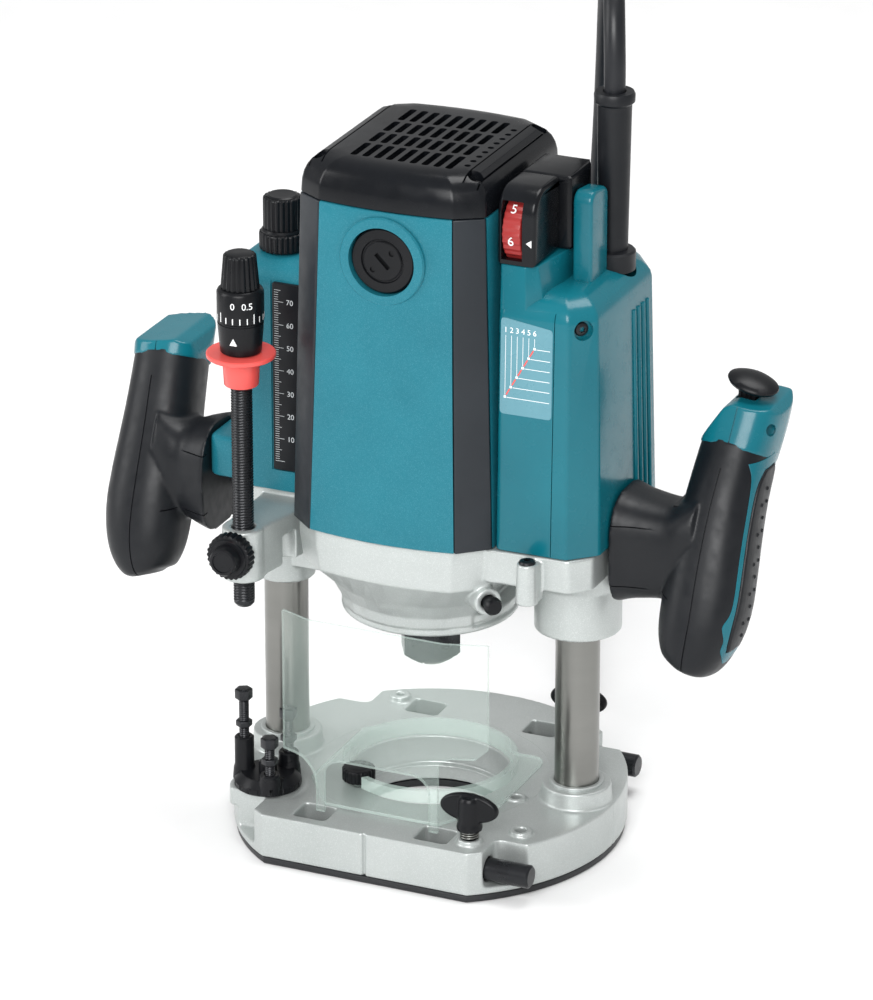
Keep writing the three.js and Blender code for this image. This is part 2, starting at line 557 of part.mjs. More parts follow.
function addTopCover() {
  const foot = HOUSING_TOP + GAP;
  const at = (inset, z) => shrunk(HOUSING_HIGH, inset).map(([x, y]) => vec(x, y, z));
  const outer = loft([at(0, foot), at(0.5, 301), at(3, 307), at(7, 310.4), at(12, COVER_TOP)]);
  const inner = loft([at(3, foot - 1), at(3.5, 301), at(8, 306), at(12, 308.3)]);
  const slots = [];
  const rows = [[-33, -4], [-1, 28]];
  for (let column = 0; column < 9; column += 1) {
    const x = -20 + column * 5.3;
    rows.forEach(([y0, y1]) => slots.push(box(x - 1.4, x + 1.4, y0, y1, 300, 320)));
  }
  const bridge = union(box(-34, 34, -3, 3, 296, 309), post(0, 0, 14, 296, 309, { sides: 20 }));
  const seat = post(0, 0, 11.4, 290, 300.6, { sides: 20 });
  const carrier = cut(bridge, seat, post(0, 0, 5, 290, 303, { sides: 16 }));
  add('top_cover', union(cut(outer, inner, ...slots), carrier), BLACK);
}

function addLeftTower() {
  const [half, corner] = [17, 12];
  const shoulder = TOWER_TOP - corner;
  const profile = [[-half, HOUSING_FLOOR], [half, HOUSING_FLOOR], [half, shoulder - 4],
    ...arc(half - corner, shoulder, corner, 0, 90, 5),
    ...arc(corner - half, shoulder, corner, 90, 180, 5), [-half, shoulder - 4]];
  const tower = prismX(profile, -82, -46);
  const collar = union(box(-97.7, -80, -14, 14, HOUSING_FLOOR, 168), box(-97.7, -82.4, -14, 14, 126, 152));
  const bore = post(-COLUMN_X, 0, HEAD_BORE, 120, BORE_TOP);
  const studHole = post(-COLUMN_X, 0, 4.3, 230, 260, { sides: 12 });
  add('left_column_housing', cut(union(tower, collar), bore, studHole), TEAL);
  add('depth_scale', box(-64, -52, -18.6, -17.3, 160, 243), BLACK);
}

const BOX_OUTLINE = [[46, -39], [78, -38.5], [89, -28], [89, 34], [79, 48], [46, 48]];
const BOX_TOP = [[46, -36], [77, -35.5], [86, -26], [86, 33], [77, 45], [46, 45]];

function addRightHousing() {
  const outer = drafted(BOX_OUTLINE, HOUSING_FLOOR, BOX_TOP, SHOULDER);
  const inner = drafted(
    [[49, -35.5], [76, -35.5], [85.5, -26], [85.5, 32], [77, 44.5], [49, 44.5]], HOUSING_FLOOR - 1,
    [[49, -33], [75, -33], [83, -24], [83, 31], [75, 42], [49, 42]], SHOULDER - 3.5);
  const sleeve = cut(post(COLUMN_X, 0, 13.5, HOUSING_FLOOR, SHOULDER - 2, { sides: 20 }),
    post(COLUMN_X, 0, HEAD_BORE, 120, BORE_TOP));
  const ribs = union(box(COLUMN_X + 12, 87.5, -1.5, 1.5, HOUSING_FLOOR, SHOULDER - 2));
  const [front, back] = [-9, 9];
  const tower = cut(prismX([[front, SHOULDER - 1], [back, SHOULDER - 1], ...arc(back - 5, 295, 5, 0, 90, 3),
    ...arc(front + 5, 295, 5, 90, 180, 3)], HOOD_RIGHT + GAP, 76),
  post(GUARD_X, GUARD_Y, 10, 255, 320, { sides: 16 }));
  const guardHole = post(GUARD_X, GUARD_Y, 6.6, 250, 320, { sides: 16 });
  add('right_housing', cut(union(cut(outer, inner), sleeve, ribs, tower), guardHole), TEAL);
}

function addSpeedDial() {
  const [x0, x1] = [44.5, 61.5];
  const profile = [[-34, SHOULDER + GAP], [-8, SHOULDER + GAP], [-8, 308], [-20, 308],
    ...arc(-24, 298, 10, 90, 180, 5), [-34, 290]];
  const wheelX = [47, 55];
  const wheel = vec(0, -20, 287);
  const back = box(x0, HOOD_RIGHT, -9, 16, SHOULDER + GAP, 305);
  const hood = cut(union(prismX(profile, x0, x1), cut(back, post(GUARD_X, GUARD_Y, 10, 255, 320, { sides: 16 }))),
    barX(wheel.y, wheel.z, 15.8, wheelX[0] - 0.6, wheelX[1] + 0.6),
    barX(wheel.y, wheel.z, 3, wheelX[0] - 2.3, wheelX[1] + 2.3, { sides: 10 }));
  add('speed_dial_hood', hood, BLACK);
  const dial = union(
    prismX(fluted(16, 15.1, 14.5, 2).map(([a, b]) => [a + wheel.y, b + wheel.z]), wheelX[0], wheelX[1]),
    barX(wheel.y, wheel.z, 2.6, wheelX[0] - 1.9, wheelX[1] + 1.9, { sides: 10 }));
  add('speed_dial', dial, RED);
}

function addElectrics() {
  add('controller_board', box(50, 52, -28, 40, 165, 240), GREEN_BOARD);
}

// ---- handles ----
// Centre line and half sizes of the grip, from the foot to the top, for the right hand.
const GRIP = [
  // x, y, z, half width, half depth
  [125, -19, 101, 6, 8],
  [126, -18, 104, 12, 13],
  [127.5, -14.5, 113, 16.2, 16.5],
  [128.8, -9, 126, 18, 18],
  [129, -3, 140, 17.8, 18.2],
  [129.2, 4, 155, 16.8, 18],
  [129.8, 11.5, 170, 15.8, 17.6],
  [131, 20, 185, 15.2, 17.2],
];
const CAP = [
  [131.1, 20.7, 186, 15.2, 17.2],
  [132, 26, 195, 14.6, 16.6],
  [132.6, 30.5, 202, 12.4, 14.5],
  [133, 33, 206, 8.5, 10.5],
];

function gripLoft(rows, side) {
  const centres = rows.map(([x, y, z]) => vec(side * x, y, z));
  return loft(rows.map(([, , , halfX, halfAcross], i) => {
    const before = centres[Math.max(i - 1, 0)];
    const after = centres[Math.min(i + 1, rows.length - 1)];
    const along = after.clone().sub(before).normalize();
    return ovalRing(centres[i], along, halfX, halfAcross);
  }));
}

function neckLoft(side) {
  const start = side > 0 ? 89.5 : -98;
  const rows = [[start, 20, 24], [start + side * 8, 18.5, 22.5], [side * 112, 17.5, 21], [side * 122, 16, 25]];
  const rings = rows.map(([x, halfY, halfZ]) => Array.from({ length: 16 }, (_, i) => {
    const angle = (2 * Math.PI * i * side) / 16;
    const bend = (v) => Math.sign(v) * Math.abs(v) ** 0.8;
    return vec(x, halfY * bend(Math.cos(angle)), NECK_Z + halfZ * bend(Math.sin(angle)));
  }));
  return loft(rings);
}

function addHandles() {
  const left = union(gripLoft(GRIP, -1), neckLoft(-1));
  add('handle_left', left, RUBBER);
  add('handle_cap_left', gripLoft(CAP, -1), TEAL);

  const trigger = triggerLoft(0);
  const hollow = triggerLoft(1);
  const switchBay = box(112, 128, -6, 14, 140, 168);
  const right = cut(union(gripLoft(GRIP, 1), neckLoft(1)), hollow);
  add('handle_right', cut(right, switchBay, box(86, 114, -3, 3, 143, 150)), RUBBER);
  add('switch_trigger', trigger, RUBBER);
  add('switch_block', box(112.5, 127.5, -5.5, 13.5, 140.5, 167.5), BLACK);

  const cap = gripLoft(CAP, 1);
  const slot = box(125, 137, 24, 40, 199, 220);
  add('handle_cap_right', cut(cap, slot), TEAL);
  const lever = union(box(127, 135, 27, 36, 201, 213),
    solid(new THREE.SphereGeometry(1, 16, 8).scale(13, 11, 3.6).translate(133, 29, 215.5)));
  add('lock_off_lever', lever, BLACK);
}

// The long trigger on the outside of the right grip; grow opens the pocket round it.
function triggerLoft(grow) {
  const rows = [[112, -15.5, 8], [128, -8.5, 10], [150, 1.6, 10], [170, 11.5, 9.4], [182, 17.5, 8]];
  const outer = [142.6, 146, 145.8, 145.4, 145];
  const rings = rows.map(([z, y, half], i) => {
    const [x0, x1] = [138 - 5 * grow, outer[i] + 12 * grow];
    const wide = half + 1.2 * grow;
    const lift = (i === 0 ? -1 : i === rows.length - 1 ? 1 : 0) * 1.2 * grow;
    return [vec(x0, y - wide, z + lift), vec(x1, y - wide * 0.7, z + lift), vec(x1 + 0.8, y, z + lift),
      vec(x1, y + wide * 0.7, z + lift), vec(x0, y + wide, z + lift)];
  });
  return loft(rings);
}

function addPlungeLock() {
  const y = 24;
  const hub = union(barY(-COLUMN_X, 132, 8.5, y, y + 8, { sides: 20 }),
    barY(-COLUMN_X, 132, 3, 13, y + 1, { sides: 12 }));
  const arm = prismY([[-70, 124], [-70, 140], [-92, 137], [-95, 133], [-93, 129]], y + 1.5, y + 7);
  add('plunge_lock_lever', union(hub, arm), BLACK);
}

// ---- cord ----
// The free cord rises from the guard, turns over, drops behind the right housing and runs away
// along the floor to a round coil behind the motor, where the plug lies on top.
// [right, away, up] in a frame turned about Z, so that "away" is square to the floor run.
const CORD_TURN = radians(23.8);
const COIL_RIGHT = 28;
const COIL_AWAY = 295;
const COIL_INNER = 42.75;        // centre line radii of the two columns of turns
const COIL_OUTER = 51.75;
const COIL_LAYERS = 3;
const CORD_ROUTE = [
  [75.4, -13.6, 336.3], [75.4, -13.6, 345], [75.2, -12.5, 356], [75, -6, 370], [75, 10, 380], [75.1, 32, 381],
  [75.3, 58, 372], [75.4, 79, 355], [75.3, 90, 335], [74.8, 95.5, 307], [73.5, 97, 270], [71.5, 96, 235],
  [68.8, 93, 190], [66, 90, 140], [64.5, 89, 95], [64, 91, 58], [64, 97, 30], [64.3, 110, 11], [64.8, 131, 5.3],
  [65.6, 160, 4.8], [68.2, 200, 4.8], [73.6, 240, 4.8], [78.6, 272, 4.8], [79.75, 294.6, 4.8],
];
const TAIL_ROUTE = [
  [28, 337.75, 32], [14, 333, 33.5], [2, 321, 37], [-2, 305, 41.4], [0, 293, 43.7], [6, 283, 44.4],
];
const PLUG_AT = [6.5, 282.2, 44.4];
const PLUG_HEADING = [0.55, -0.835, 0];

function placed([right, away, up]) {
  const [c, s] = [Math.cos(CORD_TURN), Math.sin(CORD_TURN)];
  return vec(right * c - away * s, right * s + away * c, up);
}

function addCord() {
  const profile = [[0, 0], [6.2, 0], [7.3, 73], [8.5, 74], [8.5, 78], [0, 78]];
  const guard = cut(turned(vec(GUARD_X, GUARD_Y, GUARD_FLOOR), Z_AXIS, profile, 20),
    post(GUARD_X, GUARD_Y, CORD_RADIUS + GAP, GUARD_TOP - 30, GUARD_TOP + 2, { sides: 16 }));
  add('cord_guard', guard, RUBBER);

  const lead = new THREE.CatmullRomCurve3(CORD_ROUTE.map(placed), false, 'centripetal');
  add('cord_lead', swept(lead, CORD_RADIUS, 34, 8), RUBBER);

  const centre = placed([COIL_RIGHT, COIL_AWAY, 0]);
  const [inner, outer] = [COIL_INNER - CORD_RADIUS, COIL_OUTER + CORD_RADIUS];
  const height = COIL_LAYERS * 2 * CORD_RADIUS;
  const coil = turned(centre, Z_AXIS, [[inner, 0], [outer, 0], [outer, height], [inner, height], [inner, 0]], 28);
  const groove = union(swept(lead, CORD_RADIUS + 2 * GAP, 34, 8),
    bar(placed([COIL_OUTER + COIL_RIGHT, COIL_AWAY - 4, 4.8]), placed([COIL_OUTER + COIL_RIGHT, COIL_AWAY, 4.8]),
      CORD_RADIUS + 2 * GAP, { sides: 8 }));
  add('cord_coil', cut(coil, groove), RUBBER);

  const tail = new THREE.CatmullRomCurve3(TAIL_ROUTE.map(placed), false, 'centripetal');
  add('cord_tail', swept(tail, CORD_RADIUS, 8, 8), RUBBER);

  const heading = placed(PLUG_HEADING);
  const start = placed(PLUG_AT);
  const body = turned(start, heading, [[0, 0.4], [6, 0.4], [8, 16], [17, 22], [17, 44], [0, 44]], 20);
  const pins = [-9.5, 9.5].map((offset) => {
    const side = heading.clone().cross(Z_AXIS).multiplyScalar(offset);
    const root = start.clone().addScaledVector(heading, 43).add(side);
    return bar(root, root.clone().addScaledVector(heading, 19), 2.4, { sides: 10 });
  });
  add('cord_plug', union(body, ...pins), RUBBER);
}

addSole();
addBaseCasting();
addColumns();
addTravelLimitKnob();
addDeflector();
addBaseFittings();
addTurret();
addDepthRod();
addHeadCasting();
addShaftLock();
addSpindle();
addMotorHousing();
addBrushes();
addTopCover();
addLeftTower();
addRightHousing();
addSpeedDial();
addElectrics();
addHandles();
addPlungeLock();
addCord();

export default router;
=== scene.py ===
"""Plunge router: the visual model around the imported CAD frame.

Lengths below are millimetres in the cutter-axis frame (the cutter axis is x = 0, y = 0,
and z = 0 is the table). build() turns them into metres in the shared frame.
"""

import json
import math

import bmesh
import bpy
from mathutils import Matrix, Vector

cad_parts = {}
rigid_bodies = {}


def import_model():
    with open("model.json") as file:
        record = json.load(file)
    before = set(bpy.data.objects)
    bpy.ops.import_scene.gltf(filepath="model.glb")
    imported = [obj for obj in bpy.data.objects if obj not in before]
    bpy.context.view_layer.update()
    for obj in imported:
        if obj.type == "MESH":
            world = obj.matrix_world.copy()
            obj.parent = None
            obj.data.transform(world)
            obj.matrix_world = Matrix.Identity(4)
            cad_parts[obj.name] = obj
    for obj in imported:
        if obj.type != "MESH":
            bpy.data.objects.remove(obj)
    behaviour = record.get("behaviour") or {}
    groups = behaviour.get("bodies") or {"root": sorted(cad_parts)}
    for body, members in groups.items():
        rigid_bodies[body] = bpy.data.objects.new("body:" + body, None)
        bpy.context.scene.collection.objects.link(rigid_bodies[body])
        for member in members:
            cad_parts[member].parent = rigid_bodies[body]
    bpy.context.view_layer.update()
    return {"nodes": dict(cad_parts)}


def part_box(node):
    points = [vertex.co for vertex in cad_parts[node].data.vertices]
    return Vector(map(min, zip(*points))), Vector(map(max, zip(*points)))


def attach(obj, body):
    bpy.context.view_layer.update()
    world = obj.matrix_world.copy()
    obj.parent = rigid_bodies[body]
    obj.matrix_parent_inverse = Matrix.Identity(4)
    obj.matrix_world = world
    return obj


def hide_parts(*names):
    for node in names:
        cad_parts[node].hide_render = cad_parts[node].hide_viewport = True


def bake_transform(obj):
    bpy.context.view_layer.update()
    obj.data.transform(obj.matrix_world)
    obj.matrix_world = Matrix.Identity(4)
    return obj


for leftover in list(bpy.data.objects):
    bpy.data.objects.remove(leftover)
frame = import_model()

# ---- driving dimensions, from the frame ----
MM = 0.001


def cad_box(node):
    """A CAD node's box in this file's millimetres: x0, x1, y0, y1, z0, z1."""
    lo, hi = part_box(node)
    return (lo.x / MM, hi.x / MM, lo.y / MM - AXIS_Y, hi.y / MM - AXIS_Y, lo.z / MM, hi.z / MM)


_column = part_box("column_right")
AXIS_Y = (_column[0].y + _column[1].y) / 2 / MM
COLUMN_X = (_column[0].x + _column[1].x) / 2 / MM
COLUMN_R = (_column[1].x - _column[0].x) / 2 / MM
COLUMN_Z = (_column[0].z / MM, _column[1].z / MM)
BASE_R = cad_box("base_casting")[3]
BASE_FRONT = cad_box("base_casting")[2]
BASE_TOP = 23.0
SOLE_TOP = cad_box("sole_plate")[5]
JOINT_Z = cad_box("head_casting")[5]
HOUSING_Z = cad_box("motor_housing")[4:6]
COVER_TOP = cad_box("top_cover")[5]
ROD_BOX = cad_box("depth_rod")
ROD_X = (ROD_BOX[0] + ROD_BOX[1]) / 2
ROD_Y = (ROD_BOX[2] + ROD_BOX[3]) / 2
BRUSH_Z = sum(cad_box("brush_cap_front")[4:6]) / 2
GUARD = cad_box("cord_guard")
GUARD_X = (GUARD[0] + GUARD[1]) / 2
GUARD_Y = (GUARD[2] + GUARD[3]) / 2
CORD_R = 4.5
TURRET_X, TURRET_Y = -58.0, -41.6
GUIDE_Y, GUIDE_Z = 59.8, 12.5  # the fence rods' bores through the base
WING_X = 44.2
OPENING_R = 32  # the cutter opening
THUMB_X, THUMB_Y = -22, -26.6  # the deflector's thumb screw
COLUMN_BORE, GUARD_BORE = 9.9, 9.9
CLAMP_Z = 137  # the rod clamp knob's axis
EAR_X, EAR_Y = 63, -44  # the screw boss at the head's front right
LOCK_PIN_Z, PLUNGE_LOCK_Z = 125, 132
NECK_Z = 146  # the handles' necks
SHOULDER_Z = 262.0  # the control box's shoulder, where the cord guard stands
HOOD_FLOOR = 274.2
DIAL_Y, DIAL_Z = -20, 287
DIAL_SPACE_R = 15.8  # the hollow round the speed dial
BRUSH_SEAT = 43.9
COVER_SCREW_X, COVER_SCREW_Y = 34.6, 33
SCALE_ZERO = 163.5


# ---- camera ----
def add_camera():
    azimuth, elevation, distance = math.radians(23.8), math.radians(22.62), 2526.3
    target = Vector((2.68, AXIS_Y, 149.3)) * MM
    back = Vector((math.sin(azimuth) * math.cos(elevation), -math.cos(azimuth) * math.cos(elevation),
        math.sin(elevation)))
    data = bpy.data.cameras.new("camera")
    data.lens = 214.9
    data.sensor_width = 36
    camera = bpy.data.objects.new("camera", data)
    bpy.context.scene.collection.objects.link(camera)
    camera.location = target + back * distance * MM
    camera.rotation_euler = (-back).to_track_quat("-Z", "Y").to_euler()
    bpy.context.scene.camera = camera


add_camera()


# ---- mesh helpers ----
def build(name, points, faces):
    mesh = bpy.data.meshes.new(name)
    mesh.from_pydata([(x * MM, (y + AXIS_Y) * MM, z * MM) for x, y, z in points], [], faces)
    bm = bmesh.new()
    bm.from_mesh(mesh)
    bmesh.ops.remove_doubles(bm, verts=bm.verts, dist=1e-7)
    bmesh.ops.recalc_face_normals(bm, faces=bm.faces)
    bm.to_mesh(mesh)
    bm.free()
    obj = bpy.data.objects.new(name, mesh)
    bpy.context.scene.collection.objects.link(obj)
    return obj


def smooth(obj, angle=35):
    for polygon in obj.data.polygons:
        polygon.use_smooth = True
    obj.data.set_sharp_from_angle(angle=math.radians(angle))
    return obj


def bake_modifiers(obj):
    graph = bpy.context.evaluated_depsgraph_get()
    mesh = bpy.data.meshes.new_from_object(obj.evaluated_get(graph))
    obj.modifiers.clear()
    obj.data = mesh
    return obj


def boolean(obj, tools, operation):
    for tool in tools:
        modifier = obj.modifiers.new("b", "BOOLEAN")
        modifier.operation = operation
        modifier.solver = "MANIFOLD"
        modifier.object = tool
    bake_modifiers(obj)
    for tool in tools:
        bpy.data.objects.remove(tool)
    return obj


def cut(obj, *tools):
    return boolean(obj, tools, "DIFFERENCE")


def fuse(obj, *tools):
    return boolean(obj, tools, "UNION")


def joined(name, objects):
    """Several meshes as one object, left as separate shells."""
    bm = bmesh.new()
    for obj in objects:
        bm.from_mesh(obj.data)
    mesh = bpy.data.meshes.new(name)
    bm.to_mesh(mesh)
    bm.free()
    for obj in objects:
        bpy.data.objects.remove(obj)
    result = bpy.data.objects.new(name, mesh)
    bpy.context.scene.collection.objects.link(result)
    return result


def cast_skin(obj, voxel, rounds):
    """The soft-edged skin of a die casting or moulding: one even mesh with its corners rounded off."""
    remesh = obj.modifiers.new("r", "REMESH")
    remesh.mode = "VOXEL"
    remesh.voxel_size = voxel * MM
    relax = obj.modifiers.new("s", "SMOOTH")
    relax.factor = 0.5
    relax.iterations = rounds
    bake_modifiers(obj)
    for polygon in obj.data.polygons:
        polygon.use_smooth = True
    return obj


def rounded(points, radius, steps=4, closed=True):
    """A 2-D outline with each corner replaced by an arc-like bend of that radius."""
    result = []
    count = len(points)
    for i, here in enumerate(points):
        here = Vector(here)
        if not closed and i in (0, count - 1):
            result.append(tuple(here))
            continue
        before, after = Vector(points[i - 1]) - here, Vector(points[(i + 1) % count]) - here
        turn = before.angle(after, math.pi)
        if turn > math.radians(176):
            result.append(tuple(here))
            continue
        reach = min(radius / math.tan(turn / 2), before.length * 0.48, after.length * 0.48)
        start, end = here + before.normalized() * reach, here + after.normalized() * reach
        for k in range(steps + 1):
            t = k / steps
            result.append(tuple(start * (1 - t) ** 2 + here * 2 * t * (1 - t) + end * t * t))
    return result


def arc(x, y, radius, start, end, steps):
    return [(x + radius * math.cos(math.radians(start + (end - start) * i / steps)),
        y + radius * math.sin(math.radians(start + (end - start) * i / steps))) for i in range(steps + 1)]


def inset(points, distance):
    """An outline moved inwards (or outwards, below zero) by an even distance."""
    area = sum(a[0] * b[1] - b[0] * a[1] for a, b in zip(points, points[1:] + points[:1]))
    sign = 1 if area > 0 else -1
    result = []
    for before, here, after in zip(points[-1:] + points[:-1], points, points[1:] + points[:1]):
        first = Vector((here[0] - before[0], here[1] - before[1]))
        second = Vector((after[0] - here[0], after[1] - here[1]))
        if first.length < 1e-6 or second.length < 1e-6:
            result.append(here)
            continue
        first.normalize()
        second.normalize()
        n1, n2 = Vector((-first.y, first.x)), Vector((-second.y, second.x))
        middle = n1 + n2
        if middle.length < 1e-6:
            middle = n1.copy()
        middle.normalize()
        scale = distance / max(middle.dot(n1), 0.35)
        result.append((here[0] + sign * middle.x * scale, here[1] + sign * middle.y * scale))
    return result


def loft(name, rings):
    count = len(rings[0])
    points = [point for ring in rings for point in ring]
    faces = []
    for k in range(len(rings) - 1):
        for i in range(count):
            a, b = k * count + i, k * count + (i + 1) % count
            faces.append((a, b, b + count, a + count))
    faces.append(tuple(reversed(range(count))))
    last = (len(rings) - 1) * count
    faces.append(tuple(range(last, last + count)))
    return build(name, points, faces)


def edge_steps(length, edge, steps=3):
    """Heights and insets of a slab's rounded bottom and top edges."""
    rows = [(edge * (1 - math.cos(a)), edge * (1 - math.sin(a)))
        for a in (math.pi / 2 * k / steps for k in range(steps + 1))]
    return rows + [(length - h, i) for h, i in reversed(rows)]


AXES = {
    "z": lambda a, b, h: (a, b, h),
    "y": lambda a, b, h: (a, h, b),
    "x": lambda a, b, h: (h, a, b),
}


def slab(name, outline, start, end, edge=0.8, axis="z", steps=3, drafted=None):
    """An outline pushed along an axis, its two ends rounded over. drafted is the outline at the far end."""
    place = AXES[axis]
    rings = []
    for height, pull in edge_steps(end - start, edge, steps):
        share = height / (end - start)
        base = outline if drafted is None else [
            (a[0] + (b[0] - a[0]) * share, a[1] + (b[1] - a[1]) * share) for a, b in zip(outline, drafted)]
        rings.append([place(a, b, start + height) for a, b in (inset(base, pull) if pull > 1e-6 else base)])
    return loft(name, rings)


def block(name, x0, x1, y0, y1, z0, z1, edge=0.6, corner=None, axis="z"):
    spans = {"z": ((x0, x1), (y0, y1), (z0, z1)), "y": ((x0, x1), (z0, z1), (y0, y1)),
        "x": ((y0, y1), (z0, z1), (x0, x1))}[axis]
    (a0, a1), (b0, b1), (h0, h1) = spans
    outline = [(a0, b0), (a1, b0), (a1, b1), (a0, b1)]
    if corner or edge:
        outline = rounded(outline, corner or edge, 3)
    return slab(name, outline, h0, h1, edge, axis)


def lathe(name, profile, foot, axis=(0, 0, 1), segments=72, corner=0.0):
    """A turned solid: profile is (radius, height) pairs up the axis from foot."""
    if corner:
        profile = rounded(profile, corner, 3, closed=False)
    turn = Vector((0, 0, 1)).rotation_difference(Vector(axis).normalized()).to_matrix()
    foot = Vector(foot)
    points, faces = [], []
    for radius, height in profile:
        for i in range(segments):
            angle = 2 * math.pi * i / segments
            points.append(tuple(foot + turn @ Vector((radius * math.cos(angle), radius * math.sin(angle),
                height))))
    for k in range(len(profile) - 1):
        for i in range(segments):
            a, b = k * segments + i, k * segments + (i + 1) % segments
            faces.append((a, b, b + segments, a + segments))
    return build(name, points, faces)


def rod(name, start, end, radius, edge=0.0, segments=48, tip=None):
    start, end = Vector(start), Vector(end)
    length = (end - start).length
    tip = radius if tip is None else tip
    profile = [(0, 0), (radius, 0), (tip, length), (0, length)]
    return lathe(name, profile, start, end - start, segments, edge)


def fluted_outline(count, outer, inner, steps=6, power=1.0):
    points = []
    for i in range(count * steps):
        angle = 2 * math.pi * i / (count * steps)
        wave = 0.5 + 0.5 * math.cos(count * angle)
        points.append(((inner + (outer - inner) * wave ** power) * math.cos(angle),
            (inner + (outer - inner) * wave ** power) * math.sin(angle)))
    return points


def fluted(name, count, outer, inner, centre, h0, h1, axis="z", edge=0.8, power=1.0, steps=6):
    outline = [(a + centre[0], b + centre[1]) for a, b in fluted_outline(count, outer, inner, steps, power)]
    return slab(name, outline, h0, h1, edge, axis)


def helix(name, centre, radius, z0, z1, turns, wire, sides=10):
    steps = int(turns * 28)
    rings = []
    for k in range(steps + 1):
        angle = 2 * math.pi * turns * k / steps
        middle = Vector((centre[0] + radius * math.cos(angle), centre[1] + radius * math.sin(angle),
            z0 + (z1 - z0) * k / steps))
        outward = Vector((math.cos(angle), math.sin(angle), 0))
        rings.append([tuple(middle + outward * wire * math.cos(t) + Vector((0, 0, 1)) * wire * math.sin(t))
            for t in (2 * math.pi * i / sides for i in range(sides))])
    return smooth(loft(name, rings), 60)


def text_mesh(name, words, size, at, normal, up, thickness=0.05):
    """Generic digits standing a hair proud of a face, as a mesh."""
    data = bpy.data.curves.new(name, "FONT")
    data.body = words
    data.size = size * MM
    data.align_x = "CENTER"
    data.align_y = "CENTER"
    data.extrude = thickness * MM
    letters = bpy.data.objects.new(name, data)
    bpy.context.scene.collection.objects.link(letters)
    bpy.context.view_layer.update()
    mesh = bpy.data.meshes.new_from_object(letters.evaluated_get(bpy.context.evaluated_depsgraph_get()))
    bpy.data.objects.remove(letters)
    normal, up = Vector(normal).normalized(), Vector(up).normalized()
    right = up.cross(normal)
    turn = Matrix((right, up, normal)).transposed()
    for vertex in mesh.vertices:
        vertex.co = turn @ vertex.co + Vector((at[0], at[1] + AXIS_Y, at[2])) * MM
    result = bpy.data.objects.new(name, mesh)
    bpy.context.scene.collection.objects.link(result)
    return result


# ---- materials ----
def new_material(name, color, roughness, metallic=0.0, **sockets):
    material = bpy.data.materials.new(name)
    material.use_nodes = True
    shader = material.node_tree.nodes["Principled BSDF"]
    shader.inputs["Base Color"].default_value = (*color, 1)
    shader.inputs["Roughness"].default_value = roughness
    shader.inputs["Metallic"].default_value = metallic
    for key, value in sockets.items():
        shader.inputs[key.replace("_", " ")].default_value = value
    return material


def coordinates(tree, stretch=(1, 1, 1)):
    place = tree.nodes.new("ShaderNodeTexCoord")
    scale = tree.nodes.new("ShaderNodeMapping")
    scale.inputs["Scale"].default_value = stretch
    tree.links.new(place.outputs["Object"], scale.inputs["Vector"])
    return scale.outputs["Vector"]


def noise(tree, vector, scale, detail=3.0):
    node = tree.nodes.new("ShaderNodeTexNoise")
    node.inputs["Scale"].default_value = scale
    node.inputs["Detail"].default_value = detail
    tree.links.new(vector, node.inputs["Vector"])
    return node.outputs["Fac"]


def span(tree, value, from_low, from_high, to_low, to_high):
    node = tree.nodes.new("ShaderNodeMapRange")
    for key, number in zip(("From Min", "From Max", "To Min", "To Max"),
            (from_low, from_high, to_low, to_high)):
        node.inputs[key].default_value = number
    tree.links.new(value, node.inputs["Value"])
    return node.outputs["Result"]


def blend_colors(tree, factor, first, second):
    node = tree.nodes.new("ShaderNodeMix")
    node.data_type = "RGBA"
    node.inputs[6].default_value = (*first, 1)
    node.inputs[7].default_value = (*second, 1)
    tree.links.new(factor, node.inputs[0])
    return node.outputs[2]


def bump(tree, height, strength, distance):
    node = tree.nodes.new("ShaderNodeBump")
    node.inputs["Strength"].default_value = strength
    node.inputs["Distance"].default_value = distance
    tree.links.new(height, node.inputs["Height"])
    return node.outputs["Normal"]


def textured(name, color, light, roughness, grain=1800.0, bump_height=0.00002, rough_swing=0.06,
        metallic=0.0, patch=25.0, stretch=(1, 1, 1), strength=0.3, **sockets):
    """A moulded or painted skin: slow colour drift, fine grain in the bump and in the roughness."""
    material = new_material(name, color, roughness, metallic, **sockets)
    tree = material.node_tree
    shader = tree.nodes["Principled BSDF"]
    vector = coordinates(tree, stretch)
    drift = span(tree, noise(tree, vector, patch, 4.0), 0.3, 0.7, 0.0, 1.0)
    tree.links.new(blend_colors(tree, drift, color, light), shader.inputs["Base Color"])
    fine = noise(tree, vector, grain, 2.0)
    tree.links.new(span(tree, noise(tree, vector, grain / 12, 3.0), 0.3, 0.7, roughness - rough_swing,
        roughness + rough_swing), shader.inputs["Roughness"])
    tree.links.new(bump(tree, fine, strength, bump_height), shader.inputs["Normal"])
    return material


def flecked(name, color, light, fleck, roughness, amount=0.3, cell=3200.0, **sockets):
    """Plastic or paint with fine bright flecks in it."""
    material = textured(name, color, light, roughness, grain=1400.0, **sockets)
    tree = material.node_tree
    shader = tree.nodes["Principled BSDF"]
    vector = coordinates(tree)
    cells = tree.nodes.new("ShaderNodeTexVoronoi")
    cells.inputs["Scale"].default_value = cell
    tree.links.new(vector, cells.inputs["Vector"])
    split = tree.nodes.new("ShaderNodeSeparateColor")
    tree.links.new(cells.outputs["Color"], split.inputs[0])
    mask = span(tree, split.outputs[0], 0.72, 1.0, 0.0, amount)
    base = shader.inputs["Base Color"].links[0].from_socket
    mix = tree.nodes.new("ShaderNodeMix")
    mix.data_type = "RGBA"
    mix.inputs[7].default_value = (*fleck, 1)
    tree.links.new(mask, mix.inputs[0])
    tree.links.new(base, mix.inputs[6])
    tree.links.new(mix.outputs[2], shader.inputs["Base Color"])
    return material


